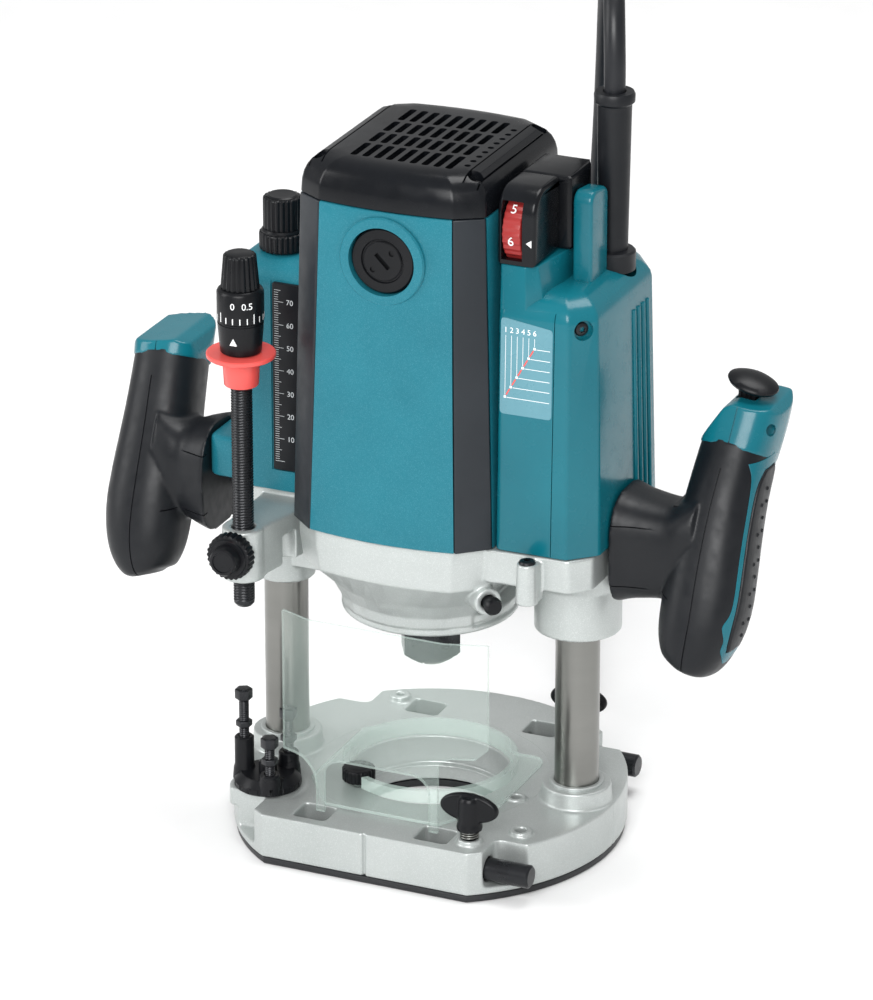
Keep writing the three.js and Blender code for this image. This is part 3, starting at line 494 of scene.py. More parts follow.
def clear_material(name, alpha):
    """Clear polycarbonate as a thin film: mostly see-through, greenish white where it catches the light."""
    material = new_material(name, (0.66, 0.80, 0.74), 0.05, IOR=1.45, Alpha=alpha)
    tree = material.node_tree
    vector = coordinates(tree)
    shader = tree.nodes["Principled BSDF"]
    tree.links.new(span(tree, noise(tree, vector, 60, 4.0), 0.45, 0.75, 0.03, 0.14),
        shader.inputs["Roughness"])
    return material


TEAL = flecked("teal_moulding", (0.006, 0.128, 0.172), (0.009, 0.150, 0.198), (0.16, 0.42, 0.50), 0.34, 0.20,
    cell=5200.0, Coat_Weight=0.05, Coat_Roughness=0.2, Specular_IOR_Level=0.25)
TEAL_SMOOTH = textured("teal_gloss", (0.003, 0.112, 0.148), (0.005, 0.134, 0.174), 0.24, Coat_Weight=0.15,
    Coat_Roughness=0.1, Specular_IOR_Level=0.25)
BLACK = textured("black_moulding", (0.004, 0.0045, 0.006), (0.008, 0.009, 0.011), 0.34, bump_height=0.00003,
    Specular_IOR_Level=0.2)
GLOSS = textured("black_gloss", (0.003, 0.0035, 0.0045), (0.006, 0.007, 0.009), 0.22, bump_height=0.00001,
    Specular_IOR_Level=0.22)
STRIP = textured("black_strip", (0.010, 0.013, 0.017), (0.014, 0.018, 0.023), 0.40, bump_height=0.00004,
    Specular_IOR_Level=0.35)
RUBBER = textured("grip_rubber", (0.005, 0.006, 0.008), (0.010, 0.011, 0.013), 0.40, grain=2600.0,
    Specular_IOR_Level=0.25)
KNOB = textured("black_knob", (0.003, 0.0035, 0.0045), (0.007, 0.0075, 0.009), 0.32, Specular_IOR_Level=0.2)
BLACK_STEEL = textured("black_oxide", (0.010, 0.011, 0.013), (0.020, 0.021, 0.024), 0.30, metallic=0.5)
RED = textured("red_moulding", (0.70, 0.075, 0.065), (0.76, 0.090, 0.078), 0.34)
DIAL_RED = textured("dial_red", (0.26, 0.020, 0.020), (0.34, 0.030, 0.028), 0.34, Specular_IOR_Level=0.35)
SILVER = flecked("silver_paint", (0.43, 0.46, 0.45), (0.48, 0.51, 0.50), (0.80, 0.83, 0.82), 0.38, 0.30,
    cell=4200.0, metallic=0.55, bump_height=0.00003)
# ground steel, its base colour dimmed well below steel's own: partly the steel's tone, partly a painted dark
# reflection standing in for dark surroundings the scene does not have
STEEL = textured("ground_steel", (0.20, 0.20, 0.188), (0.24, 0.24, 0.226), 0.28, metallic=1.0, grain=2600.0,
    stretch=(1, 1, 3), bump_height=0.000002, rough_swing=0.006, patch=14.0, strength=0.1)
DARK_STEEL = textured("blackened_steel", (0.016, 0.019, 0.021), (0.028, 0.032, 0.035), 0.30, metallic=0.5)
BRASS = textured("copper_alloy", (0.62, 0.33, 0.17), (0.70, 0.40, 0.22), 0.3, metallic=1.0)
LAMINATION = textured("laminated_steel", (0.12, 0.12, 0.125), (0.20, 0.20, 0.21), 0.45, metallic=0.8,
    grain=900.0, stretch=(1, 1, 8))
CARBON = textured("carbon", (0.008, 0.008, 0.008), (0.014, 0.014, 0.014), 0.6, Specular_IOR_Level=0.2)
BOARD = textured("solder_mask", (0.01, 0.09, 0.035), (0.02, 0.12, 0.05), 0.4)
SOLE = textured("phenolic_sole", (0.008, 0.009, 0.011), (0.014, 0.015, 0.017), 0.46, grain=900.0)
CORD_SKIN = textured("cord_jacket", (0.006, 0.007, 0.009), (0.010, 0.011, 0.014), 0.40, grain=2200.0,
    Specular_IOR_Level=0.35)
WHITE_PRINT = textured("white_print", (0.78, 0.80, 0.80), (0.86, 0.87, 0.87), 0.5)
GREY_PRINT = textured("grey_print", (0.42, 0.44, 0.45), (0.50, 0.52, 0.53), 0.5)
LABEL = textured("label_film", (0.085, 0.235, 0.290), (0.105, 0.265, 0.320), 0.28)
CLEAR = clear_material("clear_polycarbonate", 0.085)
CLEAR_THICK = clear_material("clear_collar", 0.12)
# the clear film made more opaque for the thin edge faces: a painted highlight along the clear sheets' edges
CLEAR_EDGE_GLINT = clear_material("clear_edge_painted_glint", 0.36)


def rim(obj, axis, material):
    """Gives the thin faces of a clear sheet, those not facing along `axis`, a material of their own: a more
    opaque copy of the clear film, a painted highlight along the sheet's edges.
    """
    obj.data.materials.append(material)
    for polygon in obj.data.polygons:
        if abs(polygon.normal[axis]) < 0.5:
            polygon.material_index = 1


def piece(obj, body, material, *nodes, angle=35, shade=True, slotted=True):
    """Gives a piece its material, its body, the CAD nodes it stands for and its material's slot.

    The slotted argument is not used.
    """
    obj.data.materials.clear()
    obj.data.materials.append(material)
    if shade:
        smooth(obj, angle)
    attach(obj, body)
    if nodes:
        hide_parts(*nodes)
    return obj


# ---- cord ----
TURN = math.radians(23.8)
COIL_RIGHT, COIL_AWAY = 28.0, 295.0
COIL_RADII = (51.75, 42.75)
CORD_ROUTE = [(75.4, -13.6, 336.3), (75.4, -13.6, 345), (75.2, -12.5, 356), (75, -6, 370), (75, 10, 380),
    (75.1, 32, 381), (75.3, 58, 372), (75.4, 79, 355), (75.3, 90, 335), (74.8, 95.5, 307), (73.5, 97, 270),
    (71.5, 96, 235), (68.8, 93, 190), (66, 90, 140), (64.5, 89, 95), (64, 91, 58), (64, 97, 30),
    (64.3, 110, 11), (64.8, 131, 5.3), (65.6, 160, 4.8), (68.2, 200, 4.8), (73.6, 240, 4.8),
    (78.6, 272, 4.8), (79.75, 294.6, 4.8),]
TAIL_ROUTE = [
    (28, 337.75, 32), (14, 333, 33.5), (2, 321, 37), (-2, 305, 41.4), (0, 293, 43.7), (6, 283, 44.4),
]


def placed(point):
    """A point given as (right, away, up) in the frame turned towards the floor run."""
    right, away, up = point
    return Vector((right * math.cos(TURN) - away * math.sin(TURN),
        right * math.sin(TURN) + away * math.cos(TURN), up))


def catmull_rom(points, steps):
    """A centripetal Catmull-Rom curve through the points, as the frame's cord solids follow."""
    points = [points[0] * 2 - points[1]] + list(points) + [points[-1] * 2 - points[-2]]
    result = []
    for p0, p1, p2, p3 in zip(points, points[1:], points[2:], points[3:]):
        t0 = 0.0
        t1 = t0 + (p1 - p0).length ** 0.5
        t2 = t1 + (p2 - p1).length ** 0.5
        t3 = t2 + (p3 - p2).length ** 0.5
        for k in range(steps):
            t = t1 + (t2 - t1) * k / steps
            a1 = p0 * ((t1 - t) / (t1 - t0)) + p1 * ((t - t0) / (t1 - t0))
            a2 = p1 * ((t2 - t) / (t2 - t1)) + p2 * ((t - t1) / (t2 - t1))
            a3 = p2 * ((t3 - t) / (t3 - t2)) + p3 * ((t - t2) / (t3 - t2))
            b1 = a1 * ((t2 - t) / (t2 - t0)) + a2 * ((t - t0) / (t2 - t0))
            b2 = a2 * ((t3 - t) / (t3 - t1)) + a3 * ((t - t1) / (t3 - t1))
            result.append(b1 * ((t2 - t) / (t2 - t1)) + b2 * ((t - t1) / (t2 - t1)))
    result.append(points[-2])
    return result


def coil_path():
    """Three layers of two turns: outer, inner, up, inner, outer, up, outer, inner, then on top for the tail.

    Each change of place is made one radian of turn before the one below it, so that no turn crosses another.
    """
    outer, inner = COIL_RADII
    low, layer = 4.8, 2 * CORD_R + 0.15
    places = [(outer, low), (inner, low), (inner, low + layer), (outer, low + layer),
        (outer, low + 2 * layer), (inner, low + 2 * layer), (inner, TAIL_ROUTE[0][2])]
    first, stagger = 2 * math.pi - 1.9, 2 * math.pi - 1.0
    end = 2 * math.pi * 5 + math.pi / 2
    result = []
    steps = 420
    for k in range(steps + 1):
        angle = end * k / steps
        turn = min(max(angle - first, 0.0) / stagger, len(places) - 2 + 0.999)
        here = int(turn)
        share = min(max((angle - first - here * stagger) / 1.0, 0.0), 1.0) if angle > first else 0.0
        share = share * share * (3 - 2 * share)
        radius = places[here][0] + (places[here + 1][0] - places[here][0]) * share
        height = places[here][1] + (places[here + 1][1] - places[here][1]) * share
        result.append(placed((COIL_RIGHT + radius * math.cos(angle), COIL_AWAY + radius * math.sin(angle),
            height)))
    return result


def evened(points, spacing):
    result, travelled = [points[0]], 0.0
    for a, b in zip(points, points[1:]):
        length = (b - a).length
        while travelled + length >= spacing:
            a = a + (b - a) * ((spacing - travelled) / length)
            result.append(a)
            length, travelled = (b - a).length, 0.0
        travelled += length
    if (points[-1] - result[-1]).length > spacing * 0.3:
        result.append(points[-1])
    return result


def relaxed(points, rounds):
    for _ in range(rounds):
        points = [points[0], points[1]] + [a * 0.25 + b * 0.5 + c * 0.25
            for a, b, c in zip(points[1:], points[2:-1], points[3:])] + [points[-1]]
    return points


def tube(name, points, radius, sides=20):
    """A round tube along points, its frame carried from ring to ring without twist."""
    side = Vector((0, 0, 1)).cross(points[1] - points[0])
    if side.length < 1e-4:
        side = Vector((1, 0, 0))
    rings = []
    for before, here, after in zip(points[:1] + points[:-1], points, points[1:] + points[-1:]):
        along = (after - before).normalized()
        side = (side - along * side.dot(along)).normalized()
        up = along.cross(side)
        rings.append([tuple(here + side * radius * math.cos(t) + up * radius * math.sin(t))
            for t in (2 * math.pi * i / sides for i in range(sides))])
    return loft(name, rings)


def add_cord():
    route = catmull_rom([placed(p) for p in CORD_ROUTE], 14)
    tail = catmull_rom([placed(p) for p in TAIL_ROUTE], 14)
    inside = Vector((route[0].x, route[0].y, GUARD[5] - 0.2))
    line = relaxed(evened([inside] + route[1:-1] + coil_path() + tail[1:], 3.0), 6)
    jacket = tube("supply_cord", line, CORD_R)
    piece_material(jacket, CORD_SKIN)
    smooth(jacket, 60)
    plug = add_plug()
    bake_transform(jacket)
    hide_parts("cord_lead", "cord_coil", "cord_tail")


def piece_material(obj, material):
    obj.data.materials.clear()
    obj.data.materials.append(material)


PLUG_AT = (6.5, 282.2, 44.4)
PLUG_HEADING = (0.55, -0.835, 0)


def add_plug():
    start, heading = placed(PLUG_AT), placed(PLUG_HEADING).normalized()
    side = heading.cross(Vector((0, 0, 1)))
    body = lathe("plug_body", [(0, -2), (5.6, -2), (6.0, -1), (6.4, 12), (8.6, 17), (14.5, 20.5), (16.6, 23),
        (17, 26), (17, 31), (16.4, 31.6), (16.4, 33), (17, 33.6), (17, 43), (16.2, 44), (0, 44)], start,
        heading, 64)
    rings = [lathe("plug_rib", [(5.4, -0.7), (7.0, -0.7), (7.2, 0), (7.0, 0.7), (5.4, 0.7)],
        start + heading * (1.5 + 2.6 * k), heading, 40) for k in range(5)]
    grips = [rod("plug_grip", start + heading * 22 + side * s * 16.4 + Vector((0, 0, z)),
        start + heading * 41 + side * s * 16.4 + Vector((0, 0, z)), 0.9, 0.5, 12) for s in (-1, 1)
        for z in (-4, 0, 4)]
    face = rod("plug_face", start + heading * 43.6, start + heading * 45, 14.5, 0.5, 56)
    shell = joined("plug", [body, face] + rings + grips)
    piece(shell, "base", KNOB, "cord_plug")
    pins = joined("plug_pins", [rod("pin", start + heading * 43 + side * s * 9.5,
        start + heading * 62 + side * s * 9.5, 2.4, 1.2, 24) for s in (-1, 1)])
    piece(pins, "base", STEEL)
    return [shell, pins]


add_cord()


# ---- base, its fittings and the depth stop ----
def base_outline(radius, front):
    corner = math.degrees(math.asin(front / radius))
    return arc(0, 0, radius, corner, 180 - corner, 150)


def disc_ring(name, outer, inner, z0, z1, edge, foot=(0, 0, 0)):
    profile = rounded([(inner, z0), (outer, z0), (outer, z1), (inner, z1)], edge, 3)
    return lathe(name, profile + profile[:1], foot, segments=96)


def add_base():
    outline = rounded(base_outline(BASE_R - 0.8, BASE_FRONT + 0.6), 0.8, 2)
    sole = cut(slab("sole", outline, 0, SOLE_TOP, 0.5), rod("t", (0, 0, -1), (0, 0, 5), OPENING_R,
        segments=96), *[lathe("t", [(0, -1), (4.4, -1), (4.2, 0), (2, 2.2), (0, 2.2)],
        (48 * math.cos(a), 48 * math.sin(a), 0), segments=24) for a in (math.pi / 4 + k * math.pi / 2
        for k in range(4))])
    piece(sole, "base", SOLE, "sole_plate")

    plate = slab("base", base_outline(BASE_R, BASE_FRONT), SOLE_TOP + 0.3, BASE_TOP, 0.5)
    notches = []
    for sx in (-1, 1):
        for sy in (-1, 1):
            xs, ys = sorted((sx * 53, sx * 95)), sorted((sy * 52, sy * 95))
            notches.append(block("t", *xs, *ys, 6.5, 30, 1.5, 4))
    windows = [block("t", sx * 28 - 7.6, sx * 28 + 7.6, sy * 58.3 - 6.8, sy * 58.3 + 6.8, -1, 30, 0, 1.6)
        for sx in (-1, 1) for sy in (-1, 1)]
    bosses = [lathe("t", [(0, 10), (16.5, 10), (15.6, 23), (14.8, 30.7), (0, 30.7)], (s * COLUMN_X, 0, 0),
        segments=72) for s in (-1, 1)]
    pads = [rod("t", (WING_X, s * GUIDE_Y, 15), (WING_X, s * GUIDE_Y, 25.5), 6.2, segments=40, tip=5.2)
        for s in (-1, 1)]
    turret_seat = rod("t", (TURRET_X, TURRET_Y, 15), (TURRET_X, TURRET_Y, 23.2), 16.4, segments=64)
    lugs = [rod("t", (-41.6, 61, 18), (-41.6, 61, 26), 4.7, segments=32),
        rod("t", (60.6, -43.2, 18), (60.6, -43.2, 25.2), 5.4, segments=32, tip=4.8),
        rod("t", (45.4, -12.5, 18), (45.4, -12.5, 24.4), 4.6, segments=32, tip=4.2)]
    casting = fuse(plate, *bosses, *pads, turret_seat, *lugs)
    bores = [rod("t", (s * COLUMN_X, 0, 8), (s * COLUMN_X, 0, 40), COLUMN_R + 0.3, segments=72)
        for s in (-1, 1)]
    guides = [rod("t", (-95, s * GUIDE_Y, GUIDE_Z), (95, s * GUIDE_Y, GUIDE_Z), 5.5, segments=48)
        for s in (-1, 1)]
    holes = [rod("t", (x, y, 8), (x, y, 30), r, segments=28) for x, y, r in ((60.6, -43.2, 2.6),
        (45.4, -12.5, 2.4), (-41.6, 61, 1.8), (THUMB_X, THUMB_Y, 2.6), (TURRET_X, TURRET_Y, 3.3),
        (WING_X, -GUIDE_Y, 3.3), (WING_X, GUIDE_Y, 3.3))]
    opening = [rod("t", (0, 0, -1), (0, 0, 30), OPENING_R, segments=120),
        rod("t", (0, 0, 10), (0, 0, 30), 34.5, segments=120)]
    ticks = [block("t", -0.6, 0.6, BASE_FRONT - 1, BASE_FRONT + 1.6, 0, 30, 0),
        block("t", BASE_R - 0.8, BASE_R + 1, -0.5, 0.5, 0, 30, 0)]
    casting = cut(casting, *notches, *windows, *bores, *guides, *holes, *opening, *ticks)
    cast_skin(casting, 0.62, 3)
    casting.name = "base_body"
    piece(casting, "base", SILVER, "base_casting", shade=False)

    seat = disc_ring("scribed_arcs", 52.2, 51.8, BASE_TOP - 0.1, BASE_TOP + 0.12, 0.05)
    piece(seat, "base", SILVER)
    for s, name in ((-1, "left"), (1, "right")):
        wiper = disc_ring(f"column_wiper_{name}", 11.6, COLUMN_R + 0.05, 30.3, 32.0, 0.4,
            (s * COLUMN_X, 0, 0))
        piece(wiper, "base", SILVER)


def add_columns():
    for s, name in ((-1, "left"), (1, "right")):
        r = COLUMN_R
        profile = [(0, COLUMN_Z[0]), (r - 0.4, COLUMN_Z[0]), (r, COLUMN_Z[0] + 0.4), (r, COLUMN_Z[1] - 0.6),
            (r - 0.6, COLUMN_Z[1]), (7, COLUMN_Z[1]), (7, 12), (0, 12)]
        column = lathe(f"guide_column_{name}", profile, (s * COLUMN_X, 0, 0), segments=96)
        piece(column, "base", STEEL, f"column_{name}")
        add_return_spring(f"return_spring_{name}", s * COLUMN_X, f"column_spring_{name}")


def add_return_spring(name, x, node):
    """A column spring between the base and the head."""
    x0, x1, _, _, _, top = cad_box(node)
    spring = helix(name, (x, 0), 5.4, 13.4, top - 1, 26, 0.9)
    piece_material(spring, DARK_STEEL)
    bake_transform(spring)
    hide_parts(node)


def add_wing_screws():
    for s, name in ((-1, "front"), (1, "rear")):
        y = s * GUIDE_Y
        boss = lathe("w", [(0, 29.5), (5.4, 29.5), (5.6, 31), (5.0, 33), (4.6, 43), (3.8, 44.6), (0, 45)],
            (WING_X, y, 0), segments=48)
        stem = rod("w", (WING_X, y, 17.9), (WING_X, y, 31), 2.6, segments=28)
        plate = slab("w", [(WING_X + a, 39.4 + b * 0.5) for a, b in arc(0, 0, 13.2, 0, 360, 48)[:-1]],
            y - 1.9, y + 1.9, 1.5, "y")
        screw = fuse(boss, plate)
        cast_skin(screw, 0.4, 3)
        screw = joined(f"wing_screw_grip_{name}", [screw, stem])
        piece(screw, f"wing_{name}", KNOB, f"wing_screw_{name}", angle=50)
        spring = helix(f"wing_spring_{name}", (WING_X, y), 3.7, 25.7, 29.6, 3.5, 0.42)
        piece(spring, "base", STEEL, angle=60)
        guide = lathe(f"fence_rod_{name}", [(0, 0), (4.2, 0), (5, 0.8), (5, 105.7), (4.2, 106.5),
            (0, 106.5)], (-34, y, GUIDE_Z), (1, 0, 0), 56)
        piece(guide, f"guide_{name}", BLACK_STEEL, f"guide_rod_{name}")


def add_deflector():
    x0, x1, y0, y1 = -43, 43, -52, 27
    outline = [*arc(x1 - 6, y1 - 6, 6, 0, 90, 8), *arc(x0 + 6, y1 - 6, 6, 90, 180, 8), (x0, -30), (-26, y0),
        (26, y0), (x1, -24)]
    plate = slab("collar", rounded(outline, 2.5, 3), 23.3, 25.1, 0.3)
    ring = rod("t", (0, 0, 23.3), (0, 0, 30.5), 38, 0.5, 120)
    collar = cut(fuse(plate, ring), rod("t", (0, 0, 20), (0, 0, 40), 35.3, segments=120),
        rod("t", (THUMB_X, THUMB_Y, 25.1), (THUMB_X, THUMB_Y, 40), 8.4, segments=48),
        rod("t", (THUMB_X, THUMB_Y, 20), (THUMB_X, THUMB_Y, 40), 2.6, segments=24))
    collar.name = "deflector_collar"
    piece(collar, "base", CLEAR_THICK, "chip_deflector_collar")
    # the collar's thin faces get the painted edge highlight
    rim(collar, 2, CLEAR_EDGE_GLINT)

    bend = rounded([(-45.5, -50.5), (-31, -56.2), (31, -56.2), (49, -50.5)], 9, 8, closed=False)
    outer = [(x, y - 2) for x, y in bend]
    panel = slab("panel", outer + bend[::-1], 23.3, cad_box("chip_shield")[5], 0.35)
    left = [(-60, 10), (-60, 47), (-38, 47), *arc(-38, 37, 10, 90, 10, 10), (-27.6, 36), (-27.6, 10)]
    middle = [(-23.8, 10), (-23.8, 38), *arc(-15.8, 40, 8, 180, 90, 10), *arc(16.6, 40, 8, 90, 0, 10),
        (24.6, 38), (24.6, 10)]
    right = [(28.6, 10), (28.6, 50), *arc(35, 52, 6.4, 180, 90, 8), (44, 58.4), (50, 64), (60, 64), (60, 10)]
    panel = cut(panel, *[slab("t", gap, -75, -40, 0, "y") for gap in (left, middle, right)])
    panel.name = "chip_screen"
    piece(panel, "base", CLEAR, "chip_shield")
    # the screen's thin faces get the painted edge highlight
    rim(panel, 1, CLEAR_EDGE_GLINT)

    grip = fluted("deflector_knob", 20, 7.2, 6.8, (THUMB_X, THUMB_Y), 25.6, 31.6, edge=0.9, power=0.6)
    top = lathe("t", [(0, 31.0), (4.8, 31.0), (5.0, 31.4), (4.2, 31.7), (0, 31.6)], (THUMB_X, THUMB_Y, 0),
        segments=40)
    shank = rod("t", (THUMB_X, THUMB_Y, 14), (THUMB_X, THUMB_Y, 27), 2.2, segments=20)
    knob = joined("deflector_knob", [grip, top, shank])
    piece(knob, "shield_screw", KNOB, "deflector_screw", angle=30)


def stop_point(degrees):
    return (TURRET_X + 11 * math.cos(math.radians(degrees)), TURRET_Y + 11 * math.sin(math.radians(degrees)))


def threaded(name, x, y, radius, z0, z1, pitch, depth, segments):
    """A rod with a real screw thread: each ring follows the helix in or out."""
    steps = int((z1 - z0) / pitch * 6)
    points, faces = [], []
    for k in range(steps + 1):
        z = z0 + (z1 - z0) * k / steps
        for i in range(segments):
            angle = 2 * math.pi * i / segments
            phase = (z / pitch - i / segments) % 1
            r = radius - depth * abs(2 * phase - 1)
            points.append((x + r * math.cos(angle), y + r * math.sin(angle), z))
    for k in range(steps):
        for i in range(segments):
            a, b = k * segments + i, k * segments + (i + 1) % segments
            faces.append((a, b, b + segments, a + segments))
    faces.append(tuple(reversed(range(segments))))
    faces.append(tuple(range(steps * segments, (steps + 1) * segments)))
    return smooth(build(name, points, faces), 50)


def hex_head(name, x, y, across, z0, z1, edge=0.5):
    outline = [(x + across * math.cos(math.radians(30 + 60 * i)),
        y + across * math.sin(math.radians(30 + 60 * i))) for i in range(6)]
    return slab(name, rounded(outline, 0.35, 2), z0, z1, edge)


def add_turret():
    disc = lathe("t", [(0, 23.3), (13.9, 23.3), (14.5, 23.9), (14.5, 26.0), (13.9, 26.6), (12, 29.0),
        (11.4, 29.5), (0, 29.5)], (TURRET_X, TURRET_Y, 0), segments=80)
    towers = []
    for degrees, top, radius in ((180, 44, 4.2), (300, 33, 4.4), (60, 36, 4.4)):
        x, y = stop_point(degrees)
        towers.append(lathe("t", [(0, 24.5), (radius + 0.9, 24.5), (radius + 0.5, 29.5), (radius, 31),
            (radius, top - 0.6), (radius - 0.6, top), (0, top)], (x, y, 0), segments=40))
    turret = fuse(disc, *towers)
    notches = []
    for k in range(18):
        a = math.radians(k * 20)
        notches.append(rod("t", (TURRET_X + 15.2 * math.cos(a), TURRET_Y + 15.2 * math.sin(a), 22),
            (TURRET_X + 15.2 * math.cos(a), TURRET_Y + 15.2 * math.sin(a), 27.5), 1.1, segments=12))
    turret = cut(turret, *notches, *[rod("t", (*stop_point(d), 25.0), (*stop_point(d), 60), 2.6, segments=24)
        for d in (180, 300, 60)])
    hub = lathe("t", [(0, 29), (3.9, 29), (3.9, 33.4), (3.4, 34), (1.9, 34), (1.7, 32.6), (0, 32.6)],
        (TURRET_X, TURRET_Y, 0), segments=40)
    axle = rod("t", (TURRET_X, TURRET_Y, 9), (TURRET_X, TURRET_Y, 24), 3, segments=24)
    piece(joined("turret", [turret, hub, axle]), "turret", KNOB, "stop_turret", angle=30)
    for name, degrees, foot, top, seat in (("high", 180, 29.5, 66, 44), ("middle", 60, 29.5, 56, 36),
            ("low", 300, 29.5, 50, 33)):
        x, y = stop_point(degrees)
        shank = threaded("t", x, y, 2.25, foot, top - 4, 0.9, 0.35, 20)
        head = hex_head("t", x, y, 3.9, top - 4.6, top, 0.5)
        nut = hex_head("t", x, y, 3.6, seat + 4.6, seat + 7.4, 0.4)
        dome = lathe("t", [(0, top - 0.4), (2.4, top - 0.4), (2.2, top + 0.1), (0, top + 0.3)], (x, y, 0),
            segments=28)
        piece(joined(f"stop_screw_{name}", [shank, head, nut, dome]), f"stop_{name}", BLACK_STEEL,
            f"stop_bolt_{name}", angle=30)


def add_depth_rod():
    x, y = ROD_X, ROD_Y
    low = lathe("t", [(0, 110), (3.2, 110), (4.4, 111.4), (4.4, 113), (0, 113)], (x, y, 0), segments=48)
    screw = threaded("t", x, y, 4.6, 112.5, 209.5, 1.25, 0.45, 48)
    neck = rod("t", (x, y, 209), (x, y, 262), 3.6, segments=32)
    piece(joined("depth_stop_rod", [low, screw, neck]), "depth_rod", BLACK_STEEL, "depth_rod", angle=40)

    dial = lathe("t", [(0, 225), (8.3, 225), (8.7, 225.5), (9.7, 237.4), (9.7, 238), (0, 238)], (x, y, 0),
        segments=72)
    waist = lathe("t", [(0, 237.8), (9.3, 237.8), (9.3, 238.8), (9.9, 239.4), (9.9, 251.6), (9.4, 252.6),
        (8.6, 253.2), (0, 253.2)], (x, y, 0), segments=72)
    grip = slab("t", [(a + x, b + y) for a, b in fluted_outline(20, 8.3, 7.7, 6, 0.7)], 252.6, 268, 1.1,
        drafted=[(a + x, b + y) for a, b in fluted_outline(20, 6.9, 6.4, 6, 0.7)])
    lid = lathe("t", [(0, 267.4), (5.4, 267.4), (5.7, 268), (4.8, 268.4), (0, 268.1)], (x, y, 0), segments=48)
    marks = []
    for k in range(20):
        a = math.radians(-120 + k * 18)
        long = 4.2 if k % 5 == 0 else 2.6
        marks.append(tick_on_drum(x, y, a, 239.8, 239.8 + long, 9.9))
    for words, degrees in (("0", -84), ("0.5", -48)):
        a = math.radians(degrees)
        marks.append(text_mesh("t", words, 4.0, (x + 9.86 * math.cos(a), y + 9.86 * math.sin(a), 247.6),
            (math.cos(a), math.sin(a), 0), (0, 0, 1), 0.18))
    piece(joined("fine_depth_knob", [dial, waist, grip, lid]), "fine_knob", KNOB, "fine_adjust_knob",
        angle=30)
    piece(joined("fine_depth_marks", marks), "fine_knob", WHITE_PRINT)
    arrow = slab("fine_arrow", [(x - 0.6, 230.4), (x + 2.6, 230.4), (x + 1.0, 233.4)], y - 9.62, y - 8.9,
        0.02, "y")
    piece(arrow, "fine_knob", WHITE_PRINT)

    flange = cut(fuse(lathe("t", [(0, 222.6), (14.2, 222.6), (14.6, 223.0), (14.6, 224.2), (14.2, 224.6),
        (0, 224.6)], (x, y, 0), segments=96), lathe("t", [(0, 210), (7.0, 210), (7.3, 210.4), (8, 223),
        (0, 223)], (x, y, 0), segments=56)), rod("t", (x, y, 200), (x, y, 230), 4.95, segments=48))
    flange.name = "depth_index"
    piece(flange, "pointer", RED, "depth_pointer")

    clamp_y = ROD_Y - 9.4
    front = cad_box("rod_clamp_knob")[2]
    wheel = fluted("t", 26, 10.1, 9.5, (x, CLAMP_Z), clamp_y - 6, clamp_y, "y", 0.8, 0.7)
    boss = lathe("t", [(0, 0), (7.2, 0), (6.4, 3), (6.1, 6.6), (5.5, 7.4), (4.4, 7.6), (4.2, 7.0), (0, 6.8)],
        (x, front + 7.6, CLAMP_Z), (0, -1, 0), 56)
    ring = lathe("t", [(6.4, 0), (8.6, 0), (8.2, 0.9), (6.4, 0.9)], (x, clamp_y - 6, CLAMP_Z), (0, -1, 0), 56)
    stem = rod("t", (x, clamp_y - 1, CLAMP_Z), (x, ROD_Y - 4.9, CLAMP_Z), 2.4, segments=24)
    piece(joined("rod_clamp", [wheel, boss, ring, stem]), "rod_clamp", KNOB, "rod_clamp_knob", angle=30)


def tick_on_drum(x, y, angle, z0, z1, radius, half=0.22):
    """A thin raised line up the side of a round dial."""
    points = []
    for lift in (-0.2, 0.04):
        for z in (z0, z1):
            r = radius + lift
            for offset in (-half, half):
                points.append((x + r * math.cos(angle) - offset * math.sin(angle),
                    y + r * math.sin(angle) + offset * math.cos(angle), z))
    return build("t", points, [(0, 1, 3, 2), (4, 6, 7, 5), (0, 4, 5, 1), (2, 3, 7, 6), (0, 2, 6, 4),
        (1, 5, 7, 3)])


# ---- head casting and spindle ----
def motor_outline(half_x, chamfer_x, front_y, chamfer_y, bulge, radius=3.0):
    front = [(u / 4 * half_x, -front_y - bulge * (1 - (u / 4) ** 2)) for u in range(-4, 5)]
    half = front + [(chamfer_x, -chamfer_y), (chamfer_x, chamfer_y)]
    points = half + [(-x, -y) for x, y in half]
    return rounded(points, radius, 4) if radius else points


def bar(start, end, radius, segments=40, tip=None):
    return rod("t", start, end, radius, segments=segments, tip=tip)


def lock_point(distance):
    angle = math.radians(-42)
    return (distance * math.cos(angle), distance * math.sin(angle), LOCK_PIN_Z)


